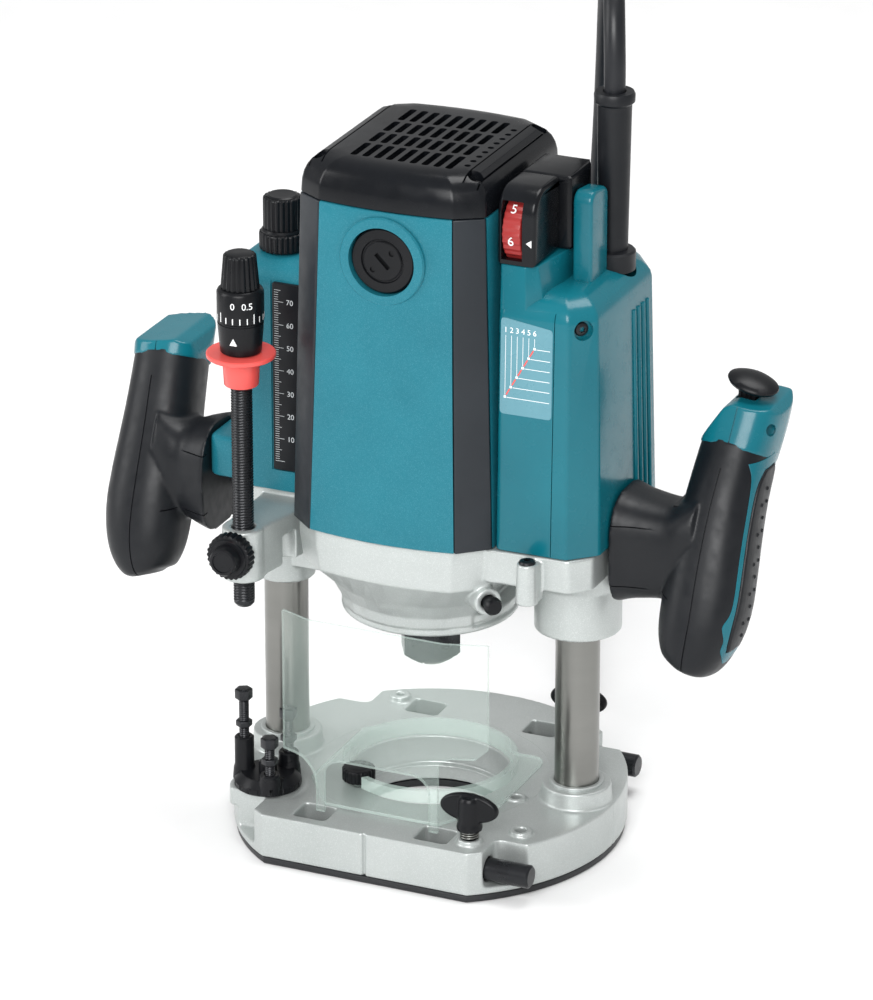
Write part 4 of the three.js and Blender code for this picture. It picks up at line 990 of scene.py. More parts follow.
def add_head_casting():
    skirt = motor_outline(31, 44, 49, 38, 3)

    def ring(radius, z):
        return [(radius * math.cos(a), radius * math.sin(a), z) for a in (math.atan2(y, x) for x, y in skirt)]

    bowl = loft("head", [ring(37.4, 104.8), ring(38.6, 106), ring(39.6, 111), ring(43.4, 118),
        [(x * 0.97, y * 0.97, 130) for x, y in skirt], [(x, y, 143) for x, y in skirt],
        [(x, y, JOINT_Z) for x, y in skirt]])
    nose = lathe("t", [(0, 102), (37.2, 102), (38, 102.6), (38, 104.4), (36.8, 104.9), (36.8, 105.8),
        (38, 106.3), (38, 110), (0, 112)], (0, 0, 0), segments=120)
    left = [block("t", -80, -38, -15, 15, 122, JOINT_Z, 1, 3),
        bar((-COLUMN_X, 0, 104), (-COLUMN_X, 0, JOINT_Z), 12.6, 72),
        lathe("t", [(0, 118), (12.6, 118), (15, 128), (15, JOINT_Z), (0, JOINT_Z)], (-COLUMN_X, 0, 0),
        segments=72)]
    plan = rounded([(40, -40), (79, -38.5), (87, -30), (87, 30), (79, 45), (40, 45)], 4, 4)
    right = [slab("t", plan, 134, JOINT_Z, 0.8), bar((COLUMN_X, 0, 103), (COLUMN_X, 0, JOINT_Z), 18.6, 84),
        lathe("t", [(0, 124), (18.6, 124), (24, 136), (24, 140), (0, 140)], (COLUMN_X, 0, 0), segments=72),
        block("t", 40, 60, -4, 4, 116, 140, 1, 1.5)]
    screw = [bar((EAR_X, EAR_Y, 130), (EAR_X, EAR_Y, 148), 4.8, 36, 4.3),
        block("t", 58.7, 67.3, -44, -36, 130, 147, 0.5, 1)]
    bracket = [bar((ROD_X, ROD_Y, 123), (ROD_X, ROD_Y, 146), 9, 56),
        slab("t", [(ROD_X - 8.6, ROD_Y), (ROD_X + 8.6, ROD_Y), (-47, -12), (-72, -12)], 124, 146, 0.8),
        bar((ROD_X, ROD_Y - 9.2, CLAMP_Z), (ROD_X, ROD_Y, CLAMP_Z), 7.4, 44)]
    lock = [bar((-COLUMN_X, 8, PLUNGE_LOCK_Z), (-COLUMN_X, 23.5, PLUNGE_LOCK_Z), 8, 44),
        bar(lock_point(38), lock_point(59), 6.4, 40, 6)]
    ribs = [block("t", -60, -36, s * 9 - 1.6, s * 9 + 1.6, 112, 130, 0.6) for s in (-1, 1)]
    casting = fuse(bowl, nose, *left, *right, *screw, *bracket, *lock, *ribs)

    tools = [bar((s * COLUMN_X, 0, 100), (s * COLUMN_X, 0, 160), COLUMN_BORE, 72) for s in (-1, 1)]
    tools += [bar((0, 0, 137), (0, 0, 160), 36, 72), bar((0, 0, 120), (0, 0, 140), 14.5, 48),
        bar((0, 0, 108.5), (0, 0, 122), 20.3, 56), bar((0, 0, 95), (0, 0, 110), 10.5, 48),
        lathe("t", [(0, 101), (24, 101), (23, 103.4), (0, 103.4)], (0, 0, 0), segments=96),
        block("t", 46, 52, -32, 38, 138, 160, 0.1), bar((ROD_X, ROD_Y, 118), (ROD_X, ROD_Y, 150), 5.0, 48),
        *[bar((*stop_point(d), 100), (*stop_point(d), top), 4.9) for d, top in ((180, 141.5), (60, 137.5))],
        bar((ROD_X, ROD_Y - 14, CLAMP_Z), (ROD_X, ROD_Y, CLAMP_Z), 2.8, 28),
        bar((EAR_X, EAR_Y, 138), (EAR_X, EAR_Y, 152), 1.9, 24),
        bar((-COLUMN_X, 12.6, PLUNGE_LOCK_Z), (-COLUMN_X, 30, PLUNGE_LOCK_Z), 3.4, 28),
        bar(lock_point(8), lock_point(62), 3.3, 28)]
    casting = cut(casting, *tools)
    cast_skin(casting, 0.62, 3)
    casting.name = "head_body"
    piece(casting, "head", SILVER, "head_casting", shade=False)
    socket_screw("bracket_screw", (EAR_X, EAR_Y, 147.6), (0, 0, 1), 3.6, "head")


def socket_screw(name, at, normal, radius, body, recess=0.8):
    """A pan head with a star recess, its seat at `at`."""
    normal = Vector(normal).normalized()
    head = lathe(name, [(0, -1.2), (radius, -1.2), (radius, recess), (radius * 0.86, recess + 0.7),
        (radius * 0.55, recess + 1.0), (0, recess + 1.05)], at, normal, 40, 0.15)
    turn = Vector((0, 0, 1)).rotation_difference(normal).to_matrix()
    star = []
    for height in (recess - 0.5, recess + 2):
        star.append([tuple(Vector(at) + turn @ Vector((a * radius * 0.1, b * radius * 0.1, height)))
            for a, b in fluted_outline(6, 4.9, 3.3, 5)])
    head = cut(head, loft("t", star))
    head.name = name
    return piece(head, body, BLACK_STEEL, angle=30)


def add_spindle():
    pin = lathe("lock_pin", [(0, 11.8), (2.6, 11.8), (3, 12.2), (3, 62), (3.5, 62), (3.9, 62.5), (3.9, 64),
        (3.0, 65.6), (0, 66)], (0, 0, LOCK_PIN_Z), Vector(lock_point(1)) - Vector((0, 0, LOCK_PIN_Z)), 40)
    piece(pin, "lock_pin", KNOB, "spindle_lock_pin", angle=30)

    shaft = lathe("spindle", [(0, 104), (6.05, 104), (6.05, 76.4), (6.4, 76), (7.6, 76), (8, 76.4), (8, 84),
        (9.2, 84), (9.6, 84.4), (9.6, 108.4), (7.6, 108.4), (7.6, 122), (11, 122), (11, 134), (8, 134),
        (8, 164), (6.5, 164), (6.5, 291), (4.2, 291), (4.2, 301), (0, 301)], (0, 0, 0), segments=72)
    slits = [block("t", -x, x, -y, y, 74, 84, 0) for x, y in ((0.5, 9), (9, 0.5))]
    shaft = cut(shaft, *slits, bar(lock_point(8), lock_point(13), 3.6, 28))
    shaft.name = "spindle"
    piece(shaft, "spindle", STEEL, "spindle_shaft", angle=30)

    hexagon = [(13.8 * math.cos(math.radians(60 * i)), 13.8 * math.sin(math.radians(60 * i)))
        for i in range(6)]
    nut = slab("collet_nut_body", rounded(hexagon, 0.6, 3), 79.6, 96, 0.4)
    cone = lathe("t", [(0, 77.5), (10.8, 77.5), (14.3, 81.5), (14.3, 97.2), (13.2, 98), (0, 98)], (0, 0, 0),
        segments=96)
    collar = lathe("t", [(0, 94), (12.6, 94), (12.6, 98), (0, 98)], (0, 0, 0), segments=72)
    foot = lathe("t", [(0, 78), (10.6, 78), (11.4, 79), (11.6, 82), (0, 82)], (0, 0, 0), segments=72)
    nut = boolean(nut, [cone], "INTERSECT")
    nut = fuse(nut, collar, foot)
    nut = cut(nut, bar((0, 0, 83.6), (0, 0, 99), 10, 72), lathe("t",
        [(0, 70), (9.4, 70), (8.4, 79.4), (8.4, 90), (0, 90)], (0, 0, 0), segments=72))
    nut.name = "collet_nut_body"
    piece(nut, "spindle", DARK_STEEL, "collet_nut", angle=30)

    seal = disc_ring("spindle_seal", 22.8, 10.8, 102.4, 103.8, 0.3)
    piece(seal, "head", BLACK)


# ---- housings ----
HOUSING_LOW = (33.2, 45.4, 50.7, 39.6, 3.5)
HOUSING_HIGH = (30, 41.6, 45.7, 38.6, 2.5)


def housing_at(z, radius=3.0):
    share = (z - HOUSING_Z[0]) / (HOUSING_Z[1] - HOUSING_Z[0])
    sizes = [a + (b - a) * share for a, b in zip(HOUSING_LOW, HOUSING_HIGH)]
    return motor_outline(*sizes, radius)


def strip_section(side, z, grow, out, round_by=0.8):
    share = (z - HOUSING_Z[0]) / (HOUSING_Z[1] - HOUSING_Z[0])
    half_x, chamfer_x, front_y, chamfer_y, _ = [a + (b - a) * share
        for a, b in zip(HOUSING_LOW, HOUSING_HIGH)]
    start, end = Vector((half_x, -front_y)), Vector((chamfer_x, -chamfer_y))
    run = (end - start).normalized()
    normal = Vector((run.y, -run.x))
    points = [start - run * grow + normal * out, end + run * grow + normal * out,
        end + run * grow - normal * (2.2 + grow), start - run * grow - normal * (2.2 + grow)]
    outline = rounded([(p.x, p.y) for p in points], round_by, 3) if round_by else [(p.x, p.y) for p in points]
    return [(side * a, b, z) for a, b in outline]


def add_motor_housing():
    z0, z1 = HOUSING_Z
    rings = []
    for height, pull in edge_steps(z1 - z0, 0.7):
        rings.append([(a, b, z0 + height) for a, b in inset(housing_at(z0 + height), pull)])
    middle = [[(a, b, z) for a, b in housing_at(z)] for z in (170, 200, 230, 260, 280)]
    rings = rings[:4] + middle + rings[4:]
    shell = loft("motor", rings)
    # a raised ring round each brush cap, running into the drafted wall
    for s in (-1, 1):
        ring = lathe("t", [(0, 0), (18.2, 0), (18.2, 8.2), (19.0, 9.4), (19.0, 11.6), (18.4, 12.4),
            (15.6, 12.6), (0, 12.6)], (0, s * 37.6, BRUSH_Z), (0, s, 0), 96)
        fuse(shell, ring)
    tools = []
    for s in (-1, 1):
        tools.append(lathe("t", [(0, 0), (14.7, 0), (14.7, 7), (15.1, 8), (15.1, 20), (0, 20)],
            (0, s * 43.4, BRUSH_Z), (0, s, 0), 96))
        tools.append(loft("t", [strip_section(s, z, 0.35, 2, 0) for z in (z0 - 2, z1 + 2)]))
    # the open inside, so that the slots in the cover show a dark space and not a floor
    tools.append(loft("t", [[(a, b, z) for a, b in inset(housing_at(z), 4.2)] for z in (z0 - 1, z1 + 1)]))
    tools += [bar((0, s * 30, BRUSH_Z), (0, s * 44, BRUSH_Z), 6.4, 40) for s in (-1, 1)]
    shell = cut(shell, *tools)
    shell.name = "motor_case"
    piece(shell, "head", TEAL, "motor_housing", angle=28)

    for s, name in ((-1, "left"), (1, "right")):
        rings = []
        for height, pull in edge_steps(z1 - z0, 0.6):
            rings.append([(a, b, z0 + height) for a, b, _ in strip_section(s, z0 + height, -pull,
                -pull * 0.6 + 0.15)])
        strip = loft(f"corner_trim_{name}", rings)
        piece(strip, "head", STRIP, f"corner_strip_{name}", angle=40)


def add_brush_caps():
    for s, name in ((-1, "front"), (1, "rear")):
        disc = lathe("t", [(0, 0), (13.6, 0), (14.1, 0.5), (14.1, 3.9), (13.4, 4.7), (9.6, 4.9), (9.3, 4.5),
            (9.2, 4.2), (0, 4.2)], (0, s * BRUSH_SEAT, BRUSH_Z), (0, s, 0), 96)
        inner = lathe("t", [(0, 0), (8.6, 0), (8.6, 4.7), (8.2, 5.1), (0, 5.1)],
            (0, s * BRUSH_SEAT, BRUSH_Z), (0, s, 0), 72)
        neck = bar((0, s * 38.8, BRUSH_Z), (0, s * (BRUSH_SEAT + 0.4), BRUSH_Z), 6, 40)
        disc = fuse(disc, inner)
        y0, y1 = sorted((s * (BRUSH_SEAT + 3.2), s * (BRUSH_SEAT + 7)))
        groove = slab("t", [(a, BRUSH_Z + b) for a, b in ((-3.6, 2.2), (2.2, -3.6), (3.6, -2.2),
            (-2.2, 3.6))], y0, y1, 0, "y")
        dimples = [bar((a, s * (BRUSH_SEAT + 4.4), BRUSH_Z + b), (a, s * (BRUSH_SEAT + 7), BRUSH_Z + b), 1.3,
            20) for a, b in ((4.2, 4.0), (-4.2, -4.0))]
        disc = cut(disc, groove, *dimples)
        cap = joined(f"brush_holder_cap_{name}", [disc, neck])
        piece(cap, "head", KNOB, f"brush_cap_{name}", angle=30)


def shrunk(points, pull):
    """An outline drawn in towards its middle by about `pull` on every side, never crossing itself."""
    xs, ys = [p[0] for p in points], [p[1] for p in points]
    mx, my = (min(xs) + max(xs)) / 2, (min(ys) + max(ys)) / 2
    kx, ky = 1 - 2 * pull / (max(xs) - min(xs)), 1 - 2 * pull / (max(ys) - min(ys))
    return [(mx + (x - mx) * kx, my + (y - my) * ky) for x, y in points]


def add_top_cover():
    foot = HOUSING_Z[1] + 0.3
    low = housing_at(HOUSING_Z[1], 3.4)
    profile = [(0.4, foot), (0.0, foot + 0.4), (0.3, 300), (1.0, 303.2), (2.2, 306), (4.0, 308.4),
        (6.4, 310.2), (9.5, 311.2), (13, COVER_TOP)]
    outer = loft("cover", [[(a, b, z) for a, b in shrunk(low, pull)] for pull, z in profile])
    inner = loft("t", [[(a, b, z) for a, b in shrunk(low, pull)]
        for pull, z in ((3.2, foot - 1), (3.6, 300), (6, 304.6), (11, 307.6), (16, 308.2))])
    tools = [inner]
    for column in range(9):
        x = -20 + column * 5.3
        for y0, y1 in ((-33.5, -17.6), (-15.4, -3.2), (-1.0, 11.6), (13.8, 28.5)):
            tools.append(block("t", x - 1.55, x + 1.55, y0, y1, 303, 320, 0.0, 1.3))
    for row in range(9):
        y = -27 + row * 6
        tools.append(bar((28.4, y, 300), (28.4, y, 320), 1.35, 20))
    for s in (-1, 1):
        tools.append(block("t", s * 31.6 - 0.35, s * 31.6 + 0.35, -60, 60, 308.4, 320, 0.0))
        tools.append(block("t", s * 37.6 - 0.3, s * 37.6 + 0.3, -60, 60, 305.6, 320, 0.0))
    tools += [bar((sx * COVER_SCREW_X, sy * COVER_SCREW_Y, 306.2),
        (sx * COVER_SCREW_X, sy * COVER_SCREW_Y, 320), 3.4, 40) for sx in (-1, 1) for sy in (-1, 1)]
    cover = cut(outer, *tools)
    carrier = cut(fuse(block("t", -34, 34, -3, 3, 296, 304, 0.3, None),
        bar((0, 0, 296), (0, 0, 304), 14, 48)), bar((0, 0, 290), (0, 0, 300.6), 11.4, 48),
        bar((0, 0, 290), (0, 0, 303), 5, 32))
    cover = joined("vent_cover", [cover, carrier])
    piece(cover, "head", GLOSS, "top_cover", angle=32)
    for i, (sx, sy) in enumerate(((-1, -1), (1, -1), (-1, 1), (1, 1))):
        socket_screw(f"cover_screw_{i + 1}", (sx * COVER_SCREW_X, sy * COVER_SCREW_Y, 305.6), (0, 0, 1), 2.8,
            "head")
    # a flat black sheet just under the vent slots: painted shade for the dark inside seen through them
    shade_sheet = slab("vent_shade_sheet", rounded([(-26, -36), (31.5, -36), (31.5, 31), (-26, 31)], 2, 3), 304.4,
        305.2, 0.2)
    piece(shade_sheet, "head", CARBON)


def add_left_tower():
    z0 = HOUSING_Z[0]
    side = [(-17, z0), (17, z0), (17, 238), *arc(5, 240, 12, 0, 90, 10), *arc(-5, 240, 12, 90, 180, 10),
        (-17, 238)]
    tower = slab("tower", side, -82, -45.6, 2.2, "x", 5)
    collar = slab("t", rounded([(-97.7, -14), (-80, -14), (-80, 14), (-97.7, 14)], 5, 5), z0, 168, 2.0)
    groove = [block("t", -66, -50.4, -18, -16.2, 158.5, 244.6, 0.3, None),
        block("t", -83, -45, -17.6, -16.7, 246.2, 246.9, 0)]
    tower = cut(fuse(tower, collar), bar((-COLUMN_X, 0, 120), (-COLUMN_X, 0, 241), COLUMN_BORE, 64),
        bar((-COLUMN_X, 0, 230), (-COLUMN_X, 0, 260), 4.4, 32), *groove)
    tower.name = "left_tower"
    piece(tower, "head", TEAL, "left_column_housing", angle=30)

    plate = slab("scale_plate", rounded([(-64.6, 159.4), (-51.6, 159.4), (-51.6, 243.8), (-64.6, 243.8)],
        0.8, 3), -18.5, -16.6, 0.35, "y")
    piece(plate, "head", BLACK, "depth_scale")
    marks = []
    face = -18.56
    for k in range(76):
        z = SCALE_ZERO + k * 1.03
        length = 4.2 if k % 10 == 0 else 3.0 if k % 5 == 0 else 1.9
        marks.append(block("t", -63.6, -63.6 + length, face, face + 0.12, z - 0.1, z + 0.1, 0))
    for k in range(1, 8):
        marks.append(text_mesh("t", str(k * 10), 3.3, (-56.4, face + 0.02, SCALE_ZERO + k * 10.3),
            (0, -1, 0), (0, 0, 1)))
    piece(joined("scale_marks", marks), "head", GREY_PRINT)


def add_limit_knob():
    skirt = fluted("t", 26, 10.0, 9.5, (-COLUMN_X, 0), 252.6, 260.6, edge=0.9, power=0.7)
    step = lathe("t", [(0, 259), (9.0, 259), (9.0, 261.2), (8.4, 262), (0, 262)], (-COLUMN_X, 0, 0),
        segments=64)
    grip = fluted("t", 22, 8.3, 7.8, (-COLUMN_X, 0), 261.2, 276, edge=1.2, power=0.7)
    lid = lathe("t", [(0, 275.4), (6.2, 275.4), (6.6, 276.1), (5.8, 276.6), (0, 276.3)], (-COLUMN_X, 0, 0),
        segments=48)
    piece(joined("travel_knob", [skirt, step, grip, lid]), "limit_knob", KNOB, "travel_limit_knob", angle=30)


def box_outline(z):
    low = [(46, -39), (78, -38.5), (89, -28), (89, 34), (79, 48), (46, 48)]
    high = [(46, -36), (77, -35.5), (86, -26), (86, 33), (77, 45), (46, 45)]
    share = (z - HOUSING_Z[0]) / (SHOULDER_Z - HOUSING_Z[0])
    return rounded([(a[0] + (b[0] - a[0]) * share, a[1] + (b[1] - a[1]) * share) for a, b in zip(low, high)],
        3.2, 4)


def add_right_housing():
    z0 = HOUSING_Z[0]
    profile = [(0.7, z0), (0.2, z0 + 0.2), (0, z0 + 0.7), (0, 200), (0, 252), (0.5, 254.4), (1.8, 256.8),
        (3.8, 258.8), (6.6, 260.4), (10, 261.5), (14, SHOULDER_Z)]
    shell = loft("box", [[(a, b, z) for a, b in shrunk(box_outline(z), pull)] for pull, z in profile])
    step = slab("t", rounded([(46, -35.6), (58, -35.6), (66, -29), (66, 15), (46, 15)], 1.6, 3), 244,
        HOOD_FLOOR - 0.4, 0.5, drafted=rounded([(46, -33.8), (57, -33.8), (61.2, -30.5), (66, 0), (46, 15)],
        1.6, 3))
    side = [(-9, 246), (9, 246), *arc(4.5, 294.5, 4.5, 0, 90, 6), *arc(-4, 295, 5, 90, 180, 6)]
    tower = slab("t", side, 67.4, 76, 1.6, "x", 4)
    ridges = [loft("t", [[(x0 + 0.9 * math.cos(a), 12 + k * 5 + 1.1 * math.sin(a), z)
        for a in (2 * math.pi * i / 16 for i in range(16))] for x0, z in ((89.1, 160), (86.55, 244))])
        for k in range(4)]
    shell = fuse(shell, step, tower, *ridges)
    chamfer = Vector((0.726, -0.688, 0))
    screw_at = Vector((81.9, -30.9, 249))
    shell = cut(shell, bar((GUARD_X, GUARD_Y, 246), (GUARD_X, GUARD_Y, 320), GUARD_BORE, 56),
        bar((COLUMN_X, 0, 120), (COLUMN_X, 0, 241), COLUMN_BORE, 56),
        bar(screw_at - chamfer * 2.6, screw_at + chamfer * 6, 4.3, 40),
        bar((46.4, DIAL_Y, DIAL_Z), (55.6, DIAL_Y, DIAL_Z), DIAL_SPACE_R, 96),
        block("t", 70.9, 71.25, -42, -34, 140, 256, 0, None))
    shell.name = "control_box"
    piece(shell, "head", TEAL_SMOOTH, "right_housing", angle=30)
    socket_screw("box_screw", screw_at - chamfer * 3.2, chamfer, 3.1, "head")
    add_label()


def add_label():
    """The speed chart on the front of the control box: a film with generic digits and a rising line."""
    def front(x, z, lift):
        share = (z - HOUSING_Z[0]) / (SHOULDER_Z - HOUSING_Z[0])
        low, high = -39 + (x - 46) * 0.5 / 32, -36 + (x - 46) * 0.5 / 31
        return low + (high - low) * share - lift

    def line(xa, za, xb, zb, half):
        run = Vector((xb - xa, zb - za)).normalized()
        off = Vector((-run.y, run.x)) * half
        corners = [(xa + off.x, za + off.y), (xb + off.x, zb + off.y), (xb - off.x, zb - off.y),
            (xa - off.x, za - off.y)]
        return loft("t", [[(a, front(a, b, lift), b) for a, b in corners] for lift in (0.1, 0.22)])

    outline = rounded([(47.6, 210), (70.4, 210), (70.4, 249), (47.6, 252)], 1.8, 4)
    film = loft("speed_chart", [[(a, front(a, b, lift), b) for a, b in outline] for lift in (-0.3, 0.14)])
    piece(film, "head", LABEL)
    dots = [(49.8 + k * 2.55, 217.5 + k * 4.5) for k in range(6)]
    white = [line(a, 244.3, a, b + 0.8, 0.09) for a, b in dots] + [line(a + 0.8, b - 0.2, 69.4, b - 0.2,
        0.12) for a, b in dots]
    white += [text_mesh("t", str(k + 1), 3.3, (a, front(a, 246.6, 0.2), 246.6), (0, -1, 0.02), (0, 0.02, 1))
        for k, (a, _) in enumerate(dots)]
    white += [line(a - 0.5, b, a + 0.5, b, 0.5) for a, b in dots]
    piece(joined("chart_print", white), "head", WHITE_PRINT)
    red = [line(a + 0.5, b + 0.86, c - 0.5, d - 0.86, 0.3) for (a, b), (c, d) in zip(dots, dots[1:])]
    piece(joined("chart_line", red), "head", RED, slotted=False)


def add_speed_dial():
    x0, x1, z0 = 44.5, 61.5, HOOD_FLOOR
    side = [(-34, z0), (-8, z0), (-8, 304), *arc(-10.5, 303.5, 2.5, 0, 90, 4),
        *arc(-23, 295, 11, 90, 180, 10), (-34, 290)]
    hood = slab("hood", side, x0, x1, 1.8, "x", 5)
    wheel = Vector((0, DIAL_Y, DIAL_Z))
    rear = cut(block("t", x0, 67, -9, 16, z0, 306, 1.6, 2.2), bar((GUARD_X, GUARD_Y, 250),
        (GUARD_X, GUARD_Y, 320), GUARD_BORE, 56))
    hood = cut(fuse(hood, rear), bar((46.4, wheel.y, wheel.z), (55.6, wheel.y, wheel.z), DIAL_SPACE_R, 96),
        bar((44.7, wheel.y, wheel.z), (57.3, wheel.y, wheel.z), 3, 32),
        block("t", 46.4, 55.6, -40, -24, 276, 301, 0.0, None))
    hood.name = "dial_hood"
    piece(hood, "head", GLOSS, "speed_dial_hood", angle=30)
    disc = fluted("t", 30, 15.1, 14.6, (wheel.y, wheel.z), 47, 55, "x", 0.7, 0.8, 5)
    axle = bar((45.1, wheel.y, wheel.z), (56.9, wheel.y, wheel.z), 2.6, 32)
    piece(joined("dial_wheel", [disc, axle]), "speed_wheel", DIAL_RED, "speed_dial", angle=25)
    digits = []
    for k in range(6):
        a = math.radians(190 - 52 * (5 - k))
        normal = Vector((0, math.cos(a), math.sin(a)))
        digits.append(text_mesh("t", str(k + 1), 5.6, tuple(wheel + normal * 15.12 + Vector((51, 0, 0))),
            normal, (0, math.sin(a), -math.cos(a)), 0.12))
    piece(joined("dial_digits", digits), "speed_wheel", WHITE_PRINT)
    arrow = slab("dial_arrow", [(59.8, 282.6), (59.8, 285.8), (57.4, 284.2)], -34.15, -33.9, 0.02, "y")
    piece(arrow, "head", WHITE_PRINT)


# ---- handles ----
# Centre line and half sizes of the right grip from foot to top: x, y, z, half width, half depth.
GRIP = [(125, -19, 100.6, 6, 8), (126, -18, 104, 12, 13), (127.5, -14.5, 113, 16.2, 16.5),
    (128.8, -9, 126, 18, 18), (129, -3, 140, 17.8, 18.2), (129.2, 4, 155, 16.8, 18),
    (129.8, 11.5, 170, 15.8, 17.6), (131, 20, 185, 15.2, 17.2),]
CAP = [(131.0, 20.2, 184.9, 15.2, 17.2), (131.8, 24.5, 193, 15.6, 17.2), (132.6, 29, 202, 15.8, 17),
    (133.2, 33, 212, 15.8, 16)]
# Each cap's side view in (x, z): the right one rises to the lever, the left one is low.
CAP_SIDE = {
    1: [(110, 180), (155, 180), (148.4, 203), (145.5, 206.6), (130, 208.2), (126.4, 206.4), (115.8, 190)],
    -1: [(110, 180), (155, 180), (147.4, 191), (143.5, 196.2), (124.5, 199), (118.5, 197), (115.6, 190)],
}
TRIGGER = [(112, -15.5, 5.0), (118, -12.9, 7.6), (128, -8.5, 9.2), (150, 1.6, 9.6), (170, 11.5, 9.0),
    (178, 15.5, 7.6), (182, 17.5, 4.4)]
BEZEL = [(106.5, -18.6, 1.2), (110, -16.5, 5.6), (114, -14.7, 9.2), (118, -12.9, 10.2), (122, -11.1, 12.4),
    (125, -9.8, 13.4), (128.5, -8.2, 12.2), (133, -6.0, 12.0), (150, 1.6, 12.2), (170, 11.5, 11.8),
    (180, 16.5, 12.4), (186.6, 20, 15.0)]


def refined(rows, steps):
    """More rows between the given ones, on a smooth curve through them."""
    rows = [Vector(row) for row in rows]
    rows = [rows[0] * 2 - rows[1]] + rows + [rows[-1] * 2 - rows[-2]]
    result = []
    for p0, p1, p2, p3 in zip(rows, rows[1:], rows[2:], rows[3:]):
        for k in range(steps):
            t = k / steps
            result.append(0.5 * (2 * p1 + (p2 - p0) * t + (2 * p0 - 5 * p1 + 4 * p2 - p3) * t * t
                + (3 * p1 - p0 - 3 * p2 + p3) * t ** 3))
    result.append(rows[-2])
    return result


def grip_loft(rows, side, grow=0.0, steps=4, count=56, power=2.4):
    rows = refined(rows, steps)
    centres = [Vector((side * r[0], r[1], r[2])) for r in rows]
    rings = []
    for i, row in enumerate(rows):
        along = (centres[min(i + 1, len(rows) - 1)] - centres[max(i - 1, 0)]).normalized()
        across_x = (Vector((1, 0, 0)) - along * along.x).normalized()
        across = along.cross(across_x)
        ring = []
        for k in range(count):
            angle = 2 * math.pi * k / count
            c, s = math.cos(angle), math.sin(angle)
            ring.append(tuple(centres[i]
                + across_x * (row[3] + grow) * math.copysign(abs(c) ** (2 / power), c)
                + across * (row[4] + grow) * math.copysign(abs(s) ** (2 / power), s)))
        rings.append(ring)
    return loft("grip", rings)


def neck_loft(side):
    start = 89.4 if side > 0 else -97.6
    rows = refined([(start, 21, 25), (start + side * 2, 20.6, 24.6), (start + side * 8, 18.8, 22.8),
        (side * 111, 17.2, 21), (side * 117, 17.2, 23), (side * 124, 15.5, 27)], 3)
    rings = []
    for x, half_y, half_z in rows:
        ring = []
        for k in range(56):
            angle = 2 * math.pi * k / 56
            c, s = math.cos(angle), math.sin(angle)
            ring.append((x, half_y * math.copysign(abs(c) ** 0.72, c),
                NECK_Z + half_z * math.copysign(abs(s) ** 0.72, s)))
        rings.append(ring)
    return loft("neck", rings)


def band(rows):
    """Outline in (y, z) of a strip that follows the grip, from its rows of height, centre and half width."""
    rows = refined(rows, 3)
    right = [(row[1] + row[2], row[0]) for row in rows]
    left = [(row[1] - row[2], row[0]) for row in rows]
    return left + right[::-1]


def parting_line(side, rows, half=0.28, depth=0.7):
    """A thin tool that cuts the moulding's parting line round the middle of a grip."""
    rows = refined(rows, 2)
    points = [(side * r[0] - half, r[2]) for r in rows] + [(side * r[0] + half, r[2]) for r in reversed(rows)]
    plate = slab("t", points, -60, 60, 0, "y")
    return cut(plate, grip_loft([(*r[:3], r[3] - depth, r[4] - depth) for r in rows], side, steps=1))


def surface_x(obj, y, z):
    """The x at which a line along -X meets the piece, in this file's millimetres, or None."""
    hit, at, _, _ = obj.ray_cast(Vector((0.2, (y + AXIS_Y) * MM, z * MM)), Vector((-1, 0, 0)))
    return at.x / MM if hit else None


def add_handles():
    for side, name in ((-1, "left"), (1, "right")):
        body = fuse(grip_loft(GRIP + [(131.2, 21.3, 187.4, 15.3, 17.3)], side), neck_loft(side))
        cast_skin(body, 0.8, 8)
        tools = [parting_line(side, GRIP)]
        for z in (NECK_Z + 13.5, NECK_Z - 13.5):
            x0, x1 = sorted((side * 88, side * 117))
            tools.append(block("t", x0, x1, -30, -15.6, z - 0.25, z + 0.25, 0, None))
        if side > 0:
            tools.append(slab("t", band([(a, b, c + 1.6) for a, b, c in TRIGGER]), 132.0, 160, 0, "x"))
        body = cut(body, *tools)
        body.name = f"grip_{name}"
        piece(body, "head", RUBBER, f"handle_{name}", angle=32)

        side_view = [(side * a, b) for a, b in CAP_SIDE[side]]
        cap = boolean(grip_loft(CAP, side, power=2.8), [slab("t", side_view, -20, 60, 0, "y")], "INTERSECT")
        cast_skin(cap, 0.6, 9)
        tools = [parting_line(side, CAP)]
        if side > 0:
            tools += [block("t", 127.5, 137, 23, 36, 203, 215, 0.0, 1.5),
                bar((144, 20, 197), (152, 10, 201), 2.6, 28)]
        cap = cut(cap, *tools)
        cap.name = f"grip_cap_{name}"
        piece(cap, "head", TEAL_SMOOTH, f"handle_cap_{name}", angle=32)

        seam = grip_loft([(*r[:3], r[3] - 0.8, r[4] - 0.8) for r in ((131.0, 20.0, 184.6, 15.2, 17.2),
            (131.1, 20.7, 186.6, 15.2, 17.2))], side, steps=2)
        seam.name = f"grip_seam_{name}"
        piece(seam, "head", BLACK)
    add_trigger()
    add_lock_off()
    add_grip_trim()


def add_grip_trim():
    """The teal frame round the trigger."""
    skin = grip_loft(GRIP + [(131.4, 22, 188.6, 15.2, 17.2)], 1, 0.3, 3)
    trim = boolean(skin, [slab("t", band(BEZEL), 133, 165, 0, "x")], "INTERSECT")
    trim = cut(trim, slab("t", band([(a, b, c + 0.7) for a, b, c in TRIGGER]), 130, 170, 0, "x"))
    trim.name = "grip_trim"
    piece(trim, "head", TEAL_SMOOTH, angle=32)


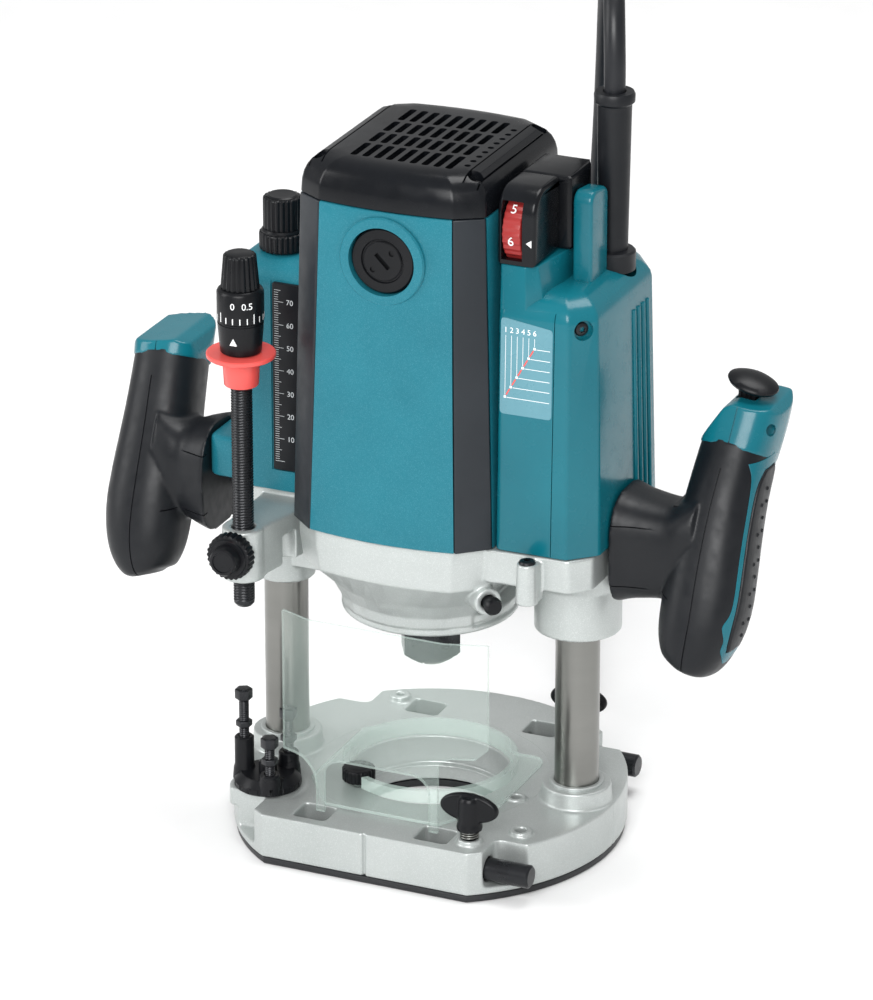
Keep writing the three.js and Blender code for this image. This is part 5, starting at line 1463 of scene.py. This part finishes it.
def add_trigger():
    trigger = boolean(grip_loft(GRIP, 1, 0.9, 3), [slab("t", band(TRIGGER), 138, 160, 0, "x")], "INTERSECT")
    cast_skin(trigger, 0.5, 3)
    bumps = []
    for k in range(11):
        z = 117.5 + k * 5.6
        centre = -15.5 + (z - 112) * 33 / 70
        for offset in (-2.6, 2.6) if k % 2 else (0.4,):
            x = surface_x(trigger, centre + offset, z)
            if x:
                bumps.append(lathe("t", [(0, -0.5), (1.0, -0.4), (0.8, 0.35), (0.4, 0.6), (0, 0.65)],
                    (x, centre + offset, z), (1, -0.1, 0), 16))
    trigger = joined("trigger_pad", [trigger] + bumps)
    piece(trigger, "trigger", RUBBER, "switch_trigger", angle=50)


def add_lock_off():
    middle = Vector((134, 28, 213.4))
    profile = [(0, -2.0), (7.6, -2.0), (10.4, -1.0), (11.2, 0.2), (11.0, 0.8), (8.8, 2.0), (5.5, 2.8),
        (2.1, 3.1), (0, 3.15)]
    dome = lathe("t", profile, middle, (0.26, -0.08, 1), 72)
    for vertex in dome.data.vertices:
        y = vertex.co.y / MM - AXIS_Y
        vertex.co.y = (middle.y + (y - middle.y) * 0.8 + AXIS_Y) * MM
    stem = block("t", 128.2, 136.0, 25.5, 34, 200.5, 212.8, 0.8)
    ribs = [block("t", 129.0 + k * 2.0, 130.0 + k * 2.0, 24.7, 26, 203, 212.0, 0.3) for k in range(4)]
    lever = joined("lock_off_button", [dome, stem] + ribs)
    piece(lever, "lock_off", KNOB, "lock_off_lever", angle=40)


def add_plunge_lock():
    y = 24
    hub = lathe("t", [(0, 0), (8.3, 0), (8.6, 0.5), (8.6, 7.2), (7.8, 8), (4, 8.1), (3.6, 7.4), (0, 7.4)],
        (-COLUMN_X, y, PLUNGE_LOCK_Z), (0, 1, 0), 64)
    axle = bar((-COLUMN_X, 13, PLUNGE_LOCK_Z), (-COLUMN_X, y + 1, PLUNGE_LOCK_Z), 3, 32)
    arm = slab("t", rounded([(-70, 124.4), (-70, 139.6), (-91, 137), (-95, 133), (-93, 129)], 2.4, 4),
        y + 1.5, y + 7, 1.4, "y")
    lever = joined("plunge_lock", [fuse(hub, arm), axle])
    piece(lever, "plunge_lock", KNOB, "plunge_lock_lever", angle=32)


def add_guard():
    profile = [(0, GUARD[4]), (6.1, GUARD[4])]
    profile += [(6.2 + 1.0 * k / 8, SHOULDER_Z + (GUARD[5] - 9 - SHOULDER_Z) * k / 8) for k in range(9)]
    profile += [(7.3, GUARD[5] - 5.4), (8.5, GUARD[5] - 4.2), (8.6, GUARD[5] - 1.2), (8.0, GUARD[5]),
        (CORD_R + 0.35, GUARD[5]), (CORD_R + 0.35, GUARD[5] - 26), (0, GUARD[5] - 26)]
    guard = lathe("t", profile, (GUARD_X, GUARD_Y, 0), segments=64)
    collar = lathe("t", [(6.0, 259), (9.6, 259), (9.6, 266.6), (8.8, 267.4), (6.2, 267.6)],
        (GUARD_X, GUARD_Y, 0), segments=56)
    piece(joined("cord_sleeve", [guard, collar]), "head", RUBBER, "cord_guard", angle=40)


add_base()
add_columns()
add_wing_screws()
add_deflector()
add_turret()
add_depth_rod()
add_head_casting()
add_spindle()
add_motor_housing()
add_brush_caps()
add_top_cover()
add_left_tower()
add_limit_knob()
add_right_housing()
add_speed_dial()
add_handles()
add_plunge_lock()
add_guard()

# ---- CAD nodes shown as they are, inside the machine: they only get materials ----
INSIDE = {
    "travel_limit_stud": STEEL, "controller_board": BOARD, "stator": LAMINATION, "lower_bearing": STEEL,
    "upper_bearing": STEEL, "carbon_brush_front": CARBON, "carbon_brush_rear": CARBON, "switch_block": BLACK,
    "armature_core": LAMINATION, "commutator": BRASS, "cooling_fan": BLACK,
}
for _name, _material in INSIDE.items():
    _mesh = frame["nodes"][_name].data
    for _index in range(max(len(_mesh.materials), 1)):
        if len(_mesh.materials) == 0:
            _mesh.materials.append(_material)
        else:
            _mesh.materials[_index] = _material


# ---- floor and light ----
def add_floor():
    reach = 4000
    floor = build("floor", [(-reach, -reach, -0.3), (reach, -reach, -0.3), (reach, reach, -0.3),
        (-reach, reach, -0.3)], [(0, 1, 2, 3)])
    piece_material(floor, textured("paper_floor", (0.86, 0.86, 0.86), (0.88, 0.88, 0.88), 0.75, grain=300.0))


def add_light(name, at, aim, size, power, color=(1, 1, 1)):
    data = bpy.data.lights.new(name, "AREA")
    data.shape = "RECTANGLE"
    data.size, data.size_y = size
    data.energy = power
    data.color = color
    light = bpy.data.objects.new(name, data)
    bpy.context.scene.collection.objects.link(light)
    light.location = at
    light.rotation_euler = (Vector(aim) - Vector(at)).to_track_quat("-Z", "Y").to_euler()


def add_world(strength):
    world = bpy.data.worlds.new("studio")
    world.use_nodes = True
    background = world.node_tree.nodes["Background"]
    background.inputs["Color"].default_value = (1, 1, 1, 1)
    background.inputs["Strength"].default_value = strength
    bpy.context.scene.world = world


add_floor()
add_world(0.5)
add_light("front_box", (0.5, -2.2, 1.5), (0, 0, 0.16), (1.5, 1.2), 60)
add_light("left_box", (-1.8, -1.0, 1.0), (0, 0, 0.16), (0.9, 1.4), 20)
add_light("top_box", (0.3, 0.5, 2.2), (0, 0, 0.15), (1.2, 1.2), 30)
bpy.context.scene.view_settings.view_transform = "Standard"
